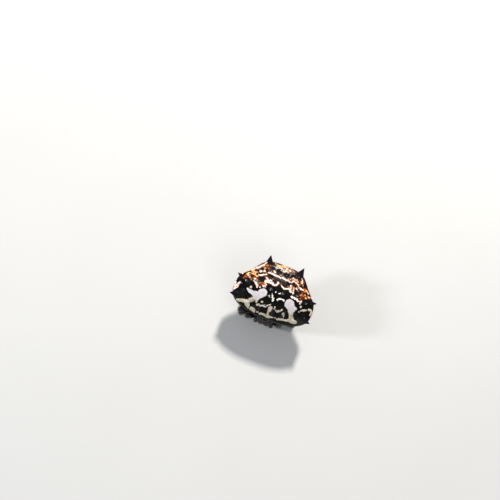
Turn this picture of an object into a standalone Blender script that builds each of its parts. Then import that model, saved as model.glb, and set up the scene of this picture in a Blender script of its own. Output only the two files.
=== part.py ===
"""A life-size still model of a female spiny orb weaver with six short spines.

The spider stands on the floor, +Z up, its head towards -Y and its left side towards +X. All sizes
below are in millimetres; each finished mesh is scaled to metres. One object is one named body part.
"""

import math

import bmesh
import bpy
from mathutils import Vector
from mathutils.bvhtree import BVHTree

# Units
MM = 0.001
MERGE = 0.003

# Abdomen: the hard shield seen from above, as the left half of its outline from front to rear
OUTLINE = {
    "front_middle": (0.0, -2.92),
    "front": (1.95, -2.84),
    "front_corner": (3.62, -2.36),
    "anterolateral": (4.66, -1.50),
    "side": (4.86, -0.30),
    "mediolateral": (4.62, 0.80),
    "rear_side": (3.52, 2.15),
    "posterior": (2.38, 3.50),
    "rear": (1.10, 3.88),
    "rear_middle": (0.0, 3.88),
}
AROUND = 92
SHIELD_RINGS = 19
SHIELD_SPREAD = 0.85
CROWN_Z = 5.0
MARGIN_Z = 4.06
MARGIN_SLOPE = 0.085
DOME_POWER = 2.2
RIM_BULGE = 0.03
RIM_DEPTH = 0.72
RIM_RINGS = 3
UNDER_RINGS = 9
UNDER_EDGE = 0.95
UNDER_SPREAD = 1.15
CONE_TIP_Z = 1.12
CONE_TIP_SHARE = 0.12
CONE_CENTRE_Y = 0.90
CONE_WAIST = 0.40
CONE_POWER = 2.3
CONE_RADIUS = 3.6
CONE_ROUNDNESS = 0.8

# Sigilla: the sunk round marks of the shield, x and y of the left one of each pair and its radius
SIGILLUM_DEPTH = 0.12
SIGILLUM_SOFTNESS = 2.0
SIGILLA = {
    "front_inner": (0.82, -2.30, 0.56),
    "front_middle": (2.05, -2.10, 0.50),
    "front_outer": (3.05, -1.80, 0.42),
    "cheek": (3.95, -1.15, 0.56),
    "side": (3.62, 0.50, 0.44),
    "rear_outer": (2.25, 0.90, 0.50),
    "rear_side": (2.58, 1.94, 0.42),
    "rear_middle": (1.25, 1.72, 0.44),
    "rear_row_outer": (1.42, 2.78, 0.42),
    "rear_row_inner": (0.48, 2.72, 0.42),
    "median_front": (0.50, -0.55, 0.36),
    "median_rear": (0.72, 0.45, 0.40),
}

# Spines: root and tip of the left one of each pair, and its largest radius; their shape is the
# share of that radius at each share of the way from root to tip
SPINE_SIDES = 10
SPINES = {
    "anterolateral": {"root": (3.80, -1.34, 3.56), "tip": (5.17, -1.68, 3.84), "radius": 0.45},
    "mediolateral": {"root": (3.70, 0.60, 3.74), "tip": (5.12, 1.00, 4.06), "radius": 0.43},
    "posterior": {"root": (1.78, 2.62, 3.80), "tip": (2.16, 4.42, 4.78), "radius": 0.62},
}
SPINE_SHAPE = {0.0: 0.35, 0.20: 0.75, 0.40: 1.0, 0.54: 0.77, 0.70: 0.49, 0.85: 0.25, 0.98: 0.07}

# Head and thorax: y, half width and top of the carapace at a few stations from rear to front
CARAPACE = (
    (-0.98, 0.55, 2.14),
    (-1.26, 1.12, 2.34),
    (-1.65, 1.40, 2.44),
    (-2.04, 1.30, 2.60),
    (-2.42, 1.10, 2.82),
    (-2.76, 0.98, 2.87),
    (-3.02, 0.86, 2.66),
    (-3.16, 0.66, 2.28),
)
CARAPACE_AROUND = 20
CARAPACE_STEPS = 3
CARAPACE_EDGE_Z = 2.02
CARAPACE_UNDER = 0.16
FOVEA = {"y": -1.76, "depth": 0.12, "radius": 0.34}
STERNUM = {"centre": (0.0, -1.54, 1.66), "radii": (0.84, 0.90, 0.54)}
LABIUM = {"centre": (0.0, -2.10, 1.46), "radii": (0.44, 0.30, 0.26)}
PEDICEL = {"start": (0.0, -1.40, 1.90), "end": (0.0, -0.98, 1.88), "radius": 0.27}

# Eyes: the angle off straight ahead and the height at which each left eye looks out, and its radius
EYES = {
    "anterior_median": (17.0, 2.48, 0.11),
    "posterior_median": (26.0, 2.71, 0.11),
    "anterior_lateral": (58.0, 2.40, 0.09),
    "posterior_lateral": (74.0, 2.54, 0.09),
}
EYE_OUT = 0.35
EYE_CLEARANCE = 0.04
HEAD_AXIS_Y = -2.6

# Jaws and palps of the left side, as joints from root to tip with their radii
CHELICERA = (
    ((0.36, -2.78, 1.58), 0.25),
    ((0.37, -2.74, 1.28), 0.28),
    ((0.35, -2.64, 0.92), 0.21),
    ((0.26, -2.60, 0.74), 0.09),
)
PALP = (
    ((0.96, -2.85, 1.60), 0.22),
    ((1.01, -2.83, 1.18), 0.23),
    ((0.95, -2.66, 0.80), 0.22),
    ((0.86, -2.48, 0.48), 0.20),
    ((0.80, -2.34, 0.34), 0.12),
)

# Legs of the left side: each joint from the sternum's edge to the place of the foot. Then the sizes
# they share, and what differs in the pose of three of them.
LEGS = {
    1: {
        "hip": (1.10, -2.20, 1.46),
        "femur": (1.54, -2.52, 1.50),
        "knee": (2.22, -3.12, 2.80),
        "ankle": (2.08, -2.58, 0.98),
        "foot": (1.32, -1.46),
    },
    2: {
        "hip": (1.37, -1.76, 1.46),
        "femur": (1.90, -1.88, 1.50),
        "knee": (3.28, -2.62, 2.66),
        "ankle": (3.12, -1.68, 0.98),
        "foot": (2.42, -0.50),
    },
    3: {
        "hip": (1.37, -1.22, 1.46),
        "femur": (1.90, -1.08, 1.48),
        "knee": (2.96, -0.66, 2.06),
        "ankle": (3.34, 0.06, 1.04),
        "foot": (3.16, 0.72),
    },
    4: {
        "hip": (1.10, -0.74, 1.46),
        "femur": (1.48, -0.40, 1.48),
        "knee": (2.58, 1.30, 1.96),
        "ankle": (3.04, 2.58, 1.00),
        "foot": (1.98, 3.36),
    },
}
LEG_SIDES = 8
COXA_RADIUS = 0.25
FEMUR_RADIUS = 0.35
PATELLA_RADIUS = 0.31
TIBIA_RADIUS = 0.29
METATARSUS_RADIUS = 0.25
TARSUS_RADIUS = 0.22
JOINT_RADIUS = 0.21
SEGMENT_SHAPE = {-0.04: 0.0, 0.16: 0.75, 0.5: 1.0, 0.82: 0.7, 1.04: 0.0}
PATELLA_SHARE = 0.38
TARSUS_SHARE = 0.42
FOOT_RADIUS = 0.17
FOOT_SINK = 0.09
LEG_SWING_DEG = {("left", 2): 11.0}
DRAWN_IN = {
    ("left", 1): {"femur": (1.45, -2.46, 1.50), "knee": (1.80, -2.74, 2.78), "ankle": (1.95, -2.40, 1.20)},
    ("right", 2): {"ankle": (2.90, -2.58, 0.98), "foot": (2.34, -1.44)},
}

# Spinnerets under the tip of the belly cone
SPINNERET_COLLAR = {"centre": (0.0, 0.90, 0.86), "radii": (0.38, 0.38, 0.16)}
SPINNERET_LOBES = {"ring": 0.17, "top": 0.82, "tip": 0.52, "radius": 0.17, "count": 5}


def clear_scene():
    """Removes every object of the open scene."""
    for obj in list(bpy.data.objects):
        bpy.data.objects.remove(obj, do_unlink=True)


def material(name, colour, roughness, metallic=0.0):
    """Returns a Principled material of one finish."""
    made = bpy.data.materials.new(name)
    made.use_nodes = True
    shader = made.node_tree.nodes["Principled BSDF"]
    shader.inputs["Base Color"].default_value = (*colour, 1.0)
    shader.inputs["Roughness"].default_value = roughness
    shader.inputs["Metallic"].default_value = metallic
    made.diffuse_color = (*colour, 1.0)
    return made


def mirrored(point, side):
    """Puts a point of the left side on the named side."""
    sign = 1.0 if side == "left" else -1.0
    return Vector((sign * point[0], point[1], point[2]))


def spline(points, steps, closed=False):
    """Samples a smooth curve through points, with steps samples for each span."""
    count = len(points)
    spans = count if closed else count - 1
    sampled = []
    for span in range(spans):
        near = []
        for offset in (-1, 0, 1, 2):
            index = span + offset
            near.append(points[index % count if closed else min(max(index, 0), count - 1)])
        for step in range(steps):
            t = step / steps
            sampled.append(
                0.5
                * (
                    2.0 * near[1]
                    + (near[2] - near[0]) * t
                    + (2.0 * near[0] - 5.0 * near[1] + 4.0 * near[2] - near[3]) * t**2
                    + (3.0 * near[1] - near[0] - 3.0 * near[2] + near[3]) * t**3
                )
            )
    if not closed:
        sampled.append(points[-1])
    return sampled


def evenly(points, count):
    """Returns count points at even distances along a closed line of points."""
    lengths = [0.0]
    for index, point in enumerate(points):
        lengths.append(lengths[-1] + (points[(index + 1) % len(points)] - point).length)
    spread = []
    index = 0
    for step in range(count):
        target = lengths[-1] * step / count
        while lengths[index + 1] < target:
            index += 1
        share = (target - lengths[index]) / (lengths[index + 1] - lengths[index])
        spread.append(points[index].lerp(points[(index + 1) % len(points)], share))
    return spread


def new_object(name, bm):
    """Turns a bmesh into an object of the scene, with its faces pointing outwards."""
    bmesh.ops.recalc_face_normals(bm, faces=bm.faces)
    mesh = bpy.data.meshes.new(name)
    bm.to_mesh(mesh)
    bm.free()
    obj = bpy.data.objects.new(name, mesh)
    bpy.context.scene.collection.objects.link(obj)
    return obj


def lofted(name, first, rings, last):
    """Makes a closed solid through rings of equal count, from one pole point to the other."""
    bm = bmesh.new()
    rows = [[bm.verts.new(point) for point in ring] for ring in rings]
    count = len(rings[0])
    start = bm.verts.new(first)
    end = bm.verts.new(last)
    for index in range(count):
        after = (index + 1) % count
        bm.faces.new((start, rows[0][index], rows[0][after]))
        bm.faces.new((end, rows[-1][after], rows[-1][index]))
        for low, high in zip(rows, rows[1:]):
            bm.faces.new((low[index], high[index], high[after], low[after]))
    return new_object(name, bm)


def ellipsoid(name, centre, radii, sides=12, rows=7):
    """Makes a closed ball stretched to three radii."""
    rings = []
    for row in range(1, rows):
        tilt = math.pi * row / rows
        ring = []
        for side in range(sides):
            turn = 2.0 * math.pi * side / sides
            out = math.sin(tilt)
            unit = Vector((out * math.cos(turn), out * math.sin(turn), math.cos(tilt)))
            ring.append(Vector(centre) + Vector(radii) * unit)
        rings.append(ring)
    up = Vector((0.0, 0.0, radii[2]))
    return lofted(name, Vector(centre) + up, rings, Vector(centre) - up)


def swept(name, path, radii, sides):
    """Makes a closed round solid along a path, with one radius for each of its points."""
    rings = []
    side_way = None
    for index, point in enumerate(path):
        ahead = path[min(index + 1, len(path) - 1)] - path[max(index - 1, 0)]
        ahead.normalize()
        if side_way is None:
            side_way = ahead.orthogonal().normalized()
        side_way = (side_way - ahead * side_way.dot(ahead)).normalized()
        other = ahead.cross(side_way)
        ring = []
        for side in range(sides):
            turn = 2.0 * math.pi * side / sides
            ring.append(point + radii[index] * (math.cos(turn) * side_way + math.sin(turn) * other))
        rings.append(ring)
    start = path[0] - (path[1] - path[0]).normalized() * radii[0] * 0.45
    end = path[-1] + (path[-1] - path[-2]).normalized() * radii[-1] * 0.45
    return lofted(name, start, rings, end)


def segment(name, start, end, radius, start_radius=JOINT_RADIUS, end_radius=JOINT_RADIUS):
    """Makes one spindle-shaped segment of a leg, narrow at both joints."""
    path = [start.lerp(end, share) for share in SEGMENT_SHAPE]
    radii = []
    for share, width in SEGMENT_SHAPE.items():
        joint = start_radius + (end_radius - start_radius) * share
        radii.append(joint + (radius - joint) * width)
    return swept(name, path, radii, LEG_SIDES)


def flattened(obj):
    """Cuts off what lies below the floor and closes the cut with a flat face."""
    bm = bmesh.new()
    bm.from_mesh(obj.data)
    everything = [*bm.verts, *bm.edges, *bm.faces]
    bmesh.ops.bisect_plane(bm, geom=everything, plane_co=(0, 0, 0), plane_no=(0, 0, -1), clear_outer=True)
    bmesh.ops.holes_fill(bm, edges=[edge for edge in bm.edges if edge.is_boundary])
    bm.to_mesh(obj.data)
    bm.free()
    return obj


def largest_shell(bm):
    """Deletes all but the largest closed surface of a mesh."""
    left = set(bm.faces)
    shells = []
    while left:
        shell = [left.pop()]
        for face in shell:
            for edge in face.edges:
                for other in edge.link_faces:
                    if other in left:
                        left.remove(other)
                        shell.append(other)
        shells.append(shell)
    shells.sort(key=lambda shell: sum(face.calc_area() for face in shell))
    loose = [face for shell in shells[:-1] for face in shell]
    bmesh.ops.delete(bm, geom=loose, context="FACES")


def combined(pieces, operation="UNION"):
    """Joins the pieces to the first one, or cuts them out of it, and returns the first one."""
    base = pieces[0]
    helpers = bpy.data.collections.new(base.name + "_pieces")
    bpy.context.scene.collection.children.link(helpers)
    for piece in pieces[1:]:
        bpy.context.scene.collection.objects.unlink(piece)
        helpers.objects.link(piece)
    modifier = base.modifiers.new("join", "BOOLEAN")
    modifier.operand_type = "COLLECTION"
    modifier.collection = helpers
    modifier.operation = operation
    modifier.solver = "EXACT"
    bpy.context.view_layer.update()
    evaluated = base.evaluated_get(bpy.context.evaluated_depsgraph_get())
    joined = bpy.data.meshes.new_from_object(evaluated)
    base.modifiers.clear()
    base.data = joined
    for piece in pieces[1:]:
        bpy.data.objects.remove(piece, do_unlink=True)
    bpy.data.collections.remove(helpers)
    return base


def finished(obj, finish):
    """Cleans a modelled piece, scales it to metres and gives it its material."""
    bm = bmesh.new()
    bm.from_mesh(obj.data)
    bmesh.ops.remove_doubles(bm, verts=bm.verts, dist=MERGE)
    bmesh.ops.dissolve_degenerate(bm, edges=bm.edges, dist=MERGE)
    largest_shell(bm)
    bmesh.ops.triangulate(bm, faces=bm.faces)
    bmesh.ops.scale(bm, vec=(MM, MM, MM), verts=bm.verts)
    bm.to_mesh(obj.data)
    bm.free()
    obj.data.materials.clear()
    obj.data.materials.append(finish)
    obj.data.shade_smooth()
    obj.data.set_sharp_from_angle(angle=math.radians(50))
    return obj


def shield_outline():
    """Returns the shield's outline from above as AROUND points, both sides alike."""
    left = [Vector((*point, 0.0)) for point in OUTLINE.values()]
    right = [Vector((-point.x, point.y, 0.0)) for point in left[-2:0:-1]]
    return evenly(spline(left + right, 12, closed=True), AROUND)


def margin_height(point):
    """Height of the shield's upper edge at a point of its outline."""
    return MARGIN_Z + MARGIN_SLOPE * point.y


def sigillum_sink(x, y):
    """How far the sigilla lower the shield at a place."""
    sink = 0.0
    for centre_x, centre_y, radius in SIGILLA.values():
        away = math.hypot(abs(x) - centre_x, y - centre_y) / radius
        if away < 1.0:
            sink = max(sink, SIGILLUM_DEPTH * (1.0 - away**2) ** SIGILLUM_SOFTNESS)
    return sink


def shield_rings(outline):
    """Rings of the upper face, from the crown out to the margin."""
    rings = []
    for step in range(1, SHIELD_RINGS + 1):
        share = (step / SHIELD_RINGS) ** SHIELD_SPREAD
        ring = []
        for point in outline:
            margin = margin_height(point)
            height = margin + (CROWN_Z - margin) * (1.0 - share**DOME_POWER)
            x = share * point.x
            y = share * point.y
            ring.append(Vector((x, y, height - sigillum_sink(x, y))))
        rings.append(ring)
    return rings


def rim_rings(outline):
    """Rings of the rounded rim, from the margin down."""
    rings = []
    for step in range(1, RIM_RINGS + 1):
        turn = math.pi * step / (RIM_RINGS + 1)
        out = 1.0 + RIM_BULGE * math.sin(turn)
        drop = 0.5 * RIM_DEPTH * (1.0 - math.cos(turn))
        rings.append([Vector((out * p.x, out * p.y, margin_height(p) - drop)) for p in outline])
    return rings


def cone_curve(share):
    """The belly cone's S-shaped flank, as a height that grows with the share of the way out."""
    return share**CONE_POWER / (share**CONE_POWER + CONE_WAIST**CONE_POWER)


def under_rings(outline):
    """Rings of the underside, from the rim in to the flat tip of the belly cone."""
    rings = []
    for step in range(UNDER_RINGS + 1):
        inward = (1.0 - step / UNDER_RINGS) ** UNDER_SPREAD
        share = CONE_TIP_SHARE + (UNDER_EDGE - CONE_TIP_SHARE) * inward
        roundness = (1.0 - inward) ** CONE_ROUNDNESS
        lowest = cone_curve(CONE_TIP_SHARE)
        rise = (cone_curve(share) - lowest) / (cone_curve(UNDER_EDGE) - lowest)
        centre = Vector((0.0, CONE_CENTRE_Y * (1.0 - inward), 0.0))
        ring = []
        for point in outline:
            flat = centre + share * point.lerp(point.normalized() * CONE_RADIUS, roundness)
            top = margin_height(point) - RIM_DEPTH
            flat.z = CONE_TIP_Z + (top - CONE_TIP_Z) * rise
            ring.append(flat)
        rings.append(ring)
    return rings


def thorn(name, root, tip, radius):
    """Makes one spine of the shield, hollow-sided and pointed like a thorn."""
    path = [root.lerp(tip, share) for share in SPINE_SHAPE]
    radii = [radius * width for width in SPINE_SHAPE.values()]
    return swept(name, path, radii, SPINE_SIDES)


def build_abdomen(finish):
    """The hard shield with its six spines and the cone of the belly, one closed body."""
    outline = shield_outline()
    rings = shield_rings(outline) + rim_rings(outline) + under_rings(outline)
    crown = Vector((0.0, 0.0, CROWN_Z))
    tip = Vector((0.0, CONE_CENTRE_Y, CONE_TIP_Z))
    pieces = [lofted("abdomen", crown, rings, tip)]
    for name, spine in SPINES.items():
        for side in ("left", "right"):
            root = mirrored(spine["root"], side)
            end = mirrored(spine["tip"], side)
            pieces.append(thorn(f"spine_{name}_{side}", root, end, spine["radius"]))
    return finished(combined(pieces), finish)


def carapace():
    """The carapace, lofted through its stations, with the head raised in front."""
    stations = spline([Vector(station) for station in CARAPACE], CARAPACE_STEPS)
    rings = []
    for station in stations:
        y, half_width, top = station
        ring = []
        for side in range(CARAPACE_AROUND):
            turn = 2.0 * math.pi * side / CARAPACE_AROUND
            across = math.copysign(abs(math.cos(turn)) ** 0.85, math.cos(turn))
            up = math.sin(turn)
            rise = (top - CARAPACE_EDGE_Z) if up > 0.0 else CARAPACE_UNDER
            z = CARAPACE_EDGE_Z + rise * math.copysign(abs(up) ** 0.9, up)
            x = half_width * across
            away = math.hypot(x, y - FOVEA["y"]) / FOVEA["radius"]
            if up > 0.0 and away < 1.0:
                z -= FOVEA["depth"] * (1.0 - away**2)
            ring.append(Vector((x, y, z)))
        rings.append(ring)
    rear = Vector((0.0, stations[0].x + 0.12, CARAPACE_EDGE_Z))
    front = Vector((0.0, stations[-1].x - 0.10, CARAPACE_EDGE_Z + 0.08))
    return lofted("cephalothorax", rear, rings, front)


def build_head(finish, eye_finish):
    """The cephalothorax with its eight eyes, each in a socket of its own."""
    pieces = [
        carapace(),
        ellipsoid("sternum", STERNUM["centre"], STERNUM["radii"]),
        ellipsoid("labium", LABIUM["centre"], LABIUM["radii"]),
    ]
    ends = [Vector(PEDICEL["start"]), Vector(PEDICEL["end"])]
    pieces.append(swept("pedicel", ends, [PEDICEL["radius"]] * 2, LEG_SIDES))
    head = combined(pieces)
    surface = BVHTree.FromObject(head, bpy.context.evaluated_depsgraph_get())
    sockets = []
    eyes = []
    for name, (degrees, z, radius) in EYES.items():
        turn = math.radians(degrees)
        for side in ("left", "right"):
            aim = mirrored((math.sin(turn), -math.cos(turn), 0.0), side)
            start = Vector((0.0, HEAD_AXIS_Y, z)) + aim * 3.0
            spot, normal, _, _ = surface.ray_cast(start, -aim)
            centre = spot + normal * radius * EYE_OUT
            eyes.append(ellipsoid(f"eye_{name}_{side}", centre, (radius,) * 3, 8, 6))
            wide = radius + EYE_CLEARANCE
            sockets.append(ellipsoid(f"socket_{name}_{side}", centre, (wide,) * 3, 8, 6))
    nodes = [finished(combined([head, *sockets], "DIFFERENCE"), finish)]
    nodes.extend(finished(eye, eye_finish) for eye in eyes)
    return nodes


def build_appendage(name, joints, side, finish):
    """A jaw or palp: overlapping segments between its joints, fused."""
    pieces = []
    places = [(mirrored(point, side), radius) for point, radius in joints]
    for index, ((start, wide), (end, narrow)) in enumerate(zip(places, places[1:])):
        middle = 1.08 * max(wide, narrow)
        pieces.append(segment(f"{name}_{side}_{index}", start, end, middle, 0.9 * wide, 0.9 * narrow))
    pieces[0].name = f"{name}_{side}"
    return finished(combined(pieces), finish)


def swung(points, side, number):
    """Turns a leg about the upright line through its hip by its swing."""
    turn = math.radians(LEG_SWING_DEG.get((side, number), 0.0))
    hip = points[0]
    turned = []
    for point in points:
        x = point.x - hip.x
        y = point.y - hip.y
        turned.append(
            Vector(
                (
                    hip.x + x * math.cos(turn) - y * math.sin(turn),
                    hip.y + x * math.sin(turn) + y * math.cos(turn),
                    point.z,
                )
            )
        )
    return turned


def build_leg(number, side, finish):
    """One leg of seven segments, drawn in, its tarsus on a small flat on the floor."""
    joints = {**LEGS[number], **DRAWN_IN.get((side, number), {})}
    joints["foot"] = (*joints["foot"], FOOT_RADIUS - FOOT_SINK)
    left = [Vector(point) for point in joints.values()]
    hip, femur, knee, ankle, foot = [mirrored(point, side) for point in swung(left, side, number)]
    patella_end = knee.lerp(ankle, PATELLA_SHARE)
    tarsus_start = ankle.lerp(foot, 1.0 - TARSUS_SHARE)
    name = f"leg_{number}_{side}"
    pieces = [
        segment(name, hip, femur, COXA_RADIUS),
        segment(name + "_femur", femur, knee, FEMUR_RADIUS),
        segment(name + "_patella", knee, patella_end, PATELLA_RADIUS),
        segment(name + "_tibia", patella_end, ankle, TIBIA_RADIUS),
        segment(name + "_metatarsus", ankle, tarsus_start, METATARSUS_RADIUS),
        segment(name + "_tarsus", tarsus_start, foot, TARSUS_RADIUS, JOINT_RADIUS, FOOT_RADIUS),
    ]
    return finished(flattened(combined(pieces)), finish)


def build_spinnerets(finish):
    """The spinnerets: a low collar with a ring of short lobes."""
    pieces = [ellipsoid("spinnerets", SPINNERET_COLLAR["centre"], SPINNERET_COLLAR["radii"])]
    centre = SPINNERET_COLLAR["centre"]
    lobes = SPINNERET_LOBES
    for index in range(lobes["count"]):
        turn = 2.0 * math.pi * (index + 0.25) / lobes["count"]
        x = centre[0] + lobes["ring"] * math.cos(turn)
        y = centre[1] + lobes["ring"] * math.sin(turn)
        start = Vector((x, y, lobes["top"]))
        end = Vector((x, y, lobes["tip"]))
        wide = lobes["radius"]
        pieces.append(segment(f"spinneret_{index}", start, end, wide, 0.9 * wide, 0.6 * wide))
    return finished(combined(pieces), finish)


def centre_on_floor(objects):
    """Moves all meshes so that their common box is centred on the origin and stands on the floor."""
    points = [vertex.co for obj in objects for vertex in obj.data.vertices]
    low = Vector((min(p.x for p in points), min(p.y for p in points), min(p.z for p in points)))
    high = Vector((max(p.x for p in points), max(p.y for p in points), max(p.z for p in points)))
    shift = Vector((-(low.x + high.x) / 2.0, -(low.y + high.y) / 2.0, -low.z))
    for obj in objects:
        for vertex in obj.data.vertices:
            vertex.co += shift


def main():
    """Builds every part and sets the spider on the floor."""
    clear_scene()
    shell = material("hard shield", (0.06, 0.05, 0.05), 0.28)
    carapace_finish = material("dark carapace", (0.012, 0.010, 0.010), 0.35)
    leg_finish = material("leg cuticle", (0.022, 0.017, 0.015), 0.38)
    eye_finish = material("eye lens", (0.005, 0.005, 0.006), 0.06)
    soft_finish = material("spinneret cuticle", (0.05, 0.03, 0.02), 0.5)
    objects = [build_abdomen(shell)]
    objects.extend(build_head(carapace_finish, eye_finish))
    for side in ("left", "right"):
        objects.append(build_appendage("chelicera", CHELICERA, side, carapace_finish))
        objects.append(build_appendage("palp", PALP, side, leg_finish))
        for number in LEGS:
            objects.append(build_leg(number, side, leg_finish))
    objects.append(build_spinnerets(soft_finish))
    centre_on_floor(objects)


main()
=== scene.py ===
"""Looks of a life-size spiny orb weaver: the marked shield, the skin, lenses, claws and bristles.

Lengths inside the classes are millimetres in the drawing of the model. A finished mesh is turned into
metres and set on the frame by settle(), so that each object sits at the origin.
"""

import logging
import math
from dataclasses import dataclass, field
from enum import Enum
from functools import cached_property
from typing import Iterable, Sequence

import bpy
import numpy as np
from mathutils import Matrix, Vector
from mathutils.bvhtree import BVHTree


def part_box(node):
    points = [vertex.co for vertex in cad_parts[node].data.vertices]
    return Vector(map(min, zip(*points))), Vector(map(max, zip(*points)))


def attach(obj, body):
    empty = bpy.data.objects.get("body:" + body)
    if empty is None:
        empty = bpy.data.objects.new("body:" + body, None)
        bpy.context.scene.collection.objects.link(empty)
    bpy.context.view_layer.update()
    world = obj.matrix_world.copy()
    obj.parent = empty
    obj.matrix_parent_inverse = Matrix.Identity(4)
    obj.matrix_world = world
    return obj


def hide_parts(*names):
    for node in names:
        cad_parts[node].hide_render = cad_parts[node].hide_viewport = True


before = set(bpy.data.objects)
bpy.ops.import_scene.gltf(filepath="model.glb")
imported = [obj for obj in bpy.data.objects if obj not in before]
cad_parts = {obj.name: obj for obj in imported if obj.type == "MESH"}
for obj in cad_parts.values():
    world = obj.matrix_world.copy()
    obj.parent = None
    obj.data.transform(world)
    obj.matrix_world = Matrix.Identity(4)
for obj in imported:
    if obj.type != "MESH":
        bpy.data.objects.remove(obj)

LOG = logging.getLogger("orb_weaver")
BODY = "root"
MM = 0.001
SPINNERET_CENTRE_Y = 0.90
HEAD_AXIS_Y = -2.6
COAT_MAP = "OFBake"
# Value of a mark's attribute at the places that it doesn't reach, in mm.
OUTSIDE = -1.0
# Share of a round solid's end radius by which its end bulges.
END_DOME = 0.45
FIXED_SOCKETS = {
    "specular_ior_level": "Specular IOR Level",
    "coat_weight": "Coat Weight",
    "coat_roughness": "Coat Roughness",
}

Piece = bpy.types.Object
Socket = bpy.types.NodeSocket
Place = tuple[float, float, float]
Dabs = tuple[Place, ...]


class Side(Enum):
    """Side of the spider, as the sign of X there."""

    LEFT = 1.0
    RIGHT = -1.0

    def mirror(self, point: Sequence[float]) -> Vector:
        """Puts a point of the left side on this side."""
        return Vector((self.value * point[0], point[1], point[2]))

    @property
    def word(self) -> str:
        """The side's name, as it stands in the names of nodes and pieces."""
        return self.name.lower()


class Paint(Enum):
    """Paints of the shield's marks; each is an attribute of the shield's mesh."""

    LILAC = "paint_lilac"
    CREAM = "paint_cream"
    WHITE = "paint_white"
    BLUSH = "paint_blush"
    YOLK = "paint_yolk"
    RUST = "paint_rust"
    INK = "paint_ink"


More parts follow.
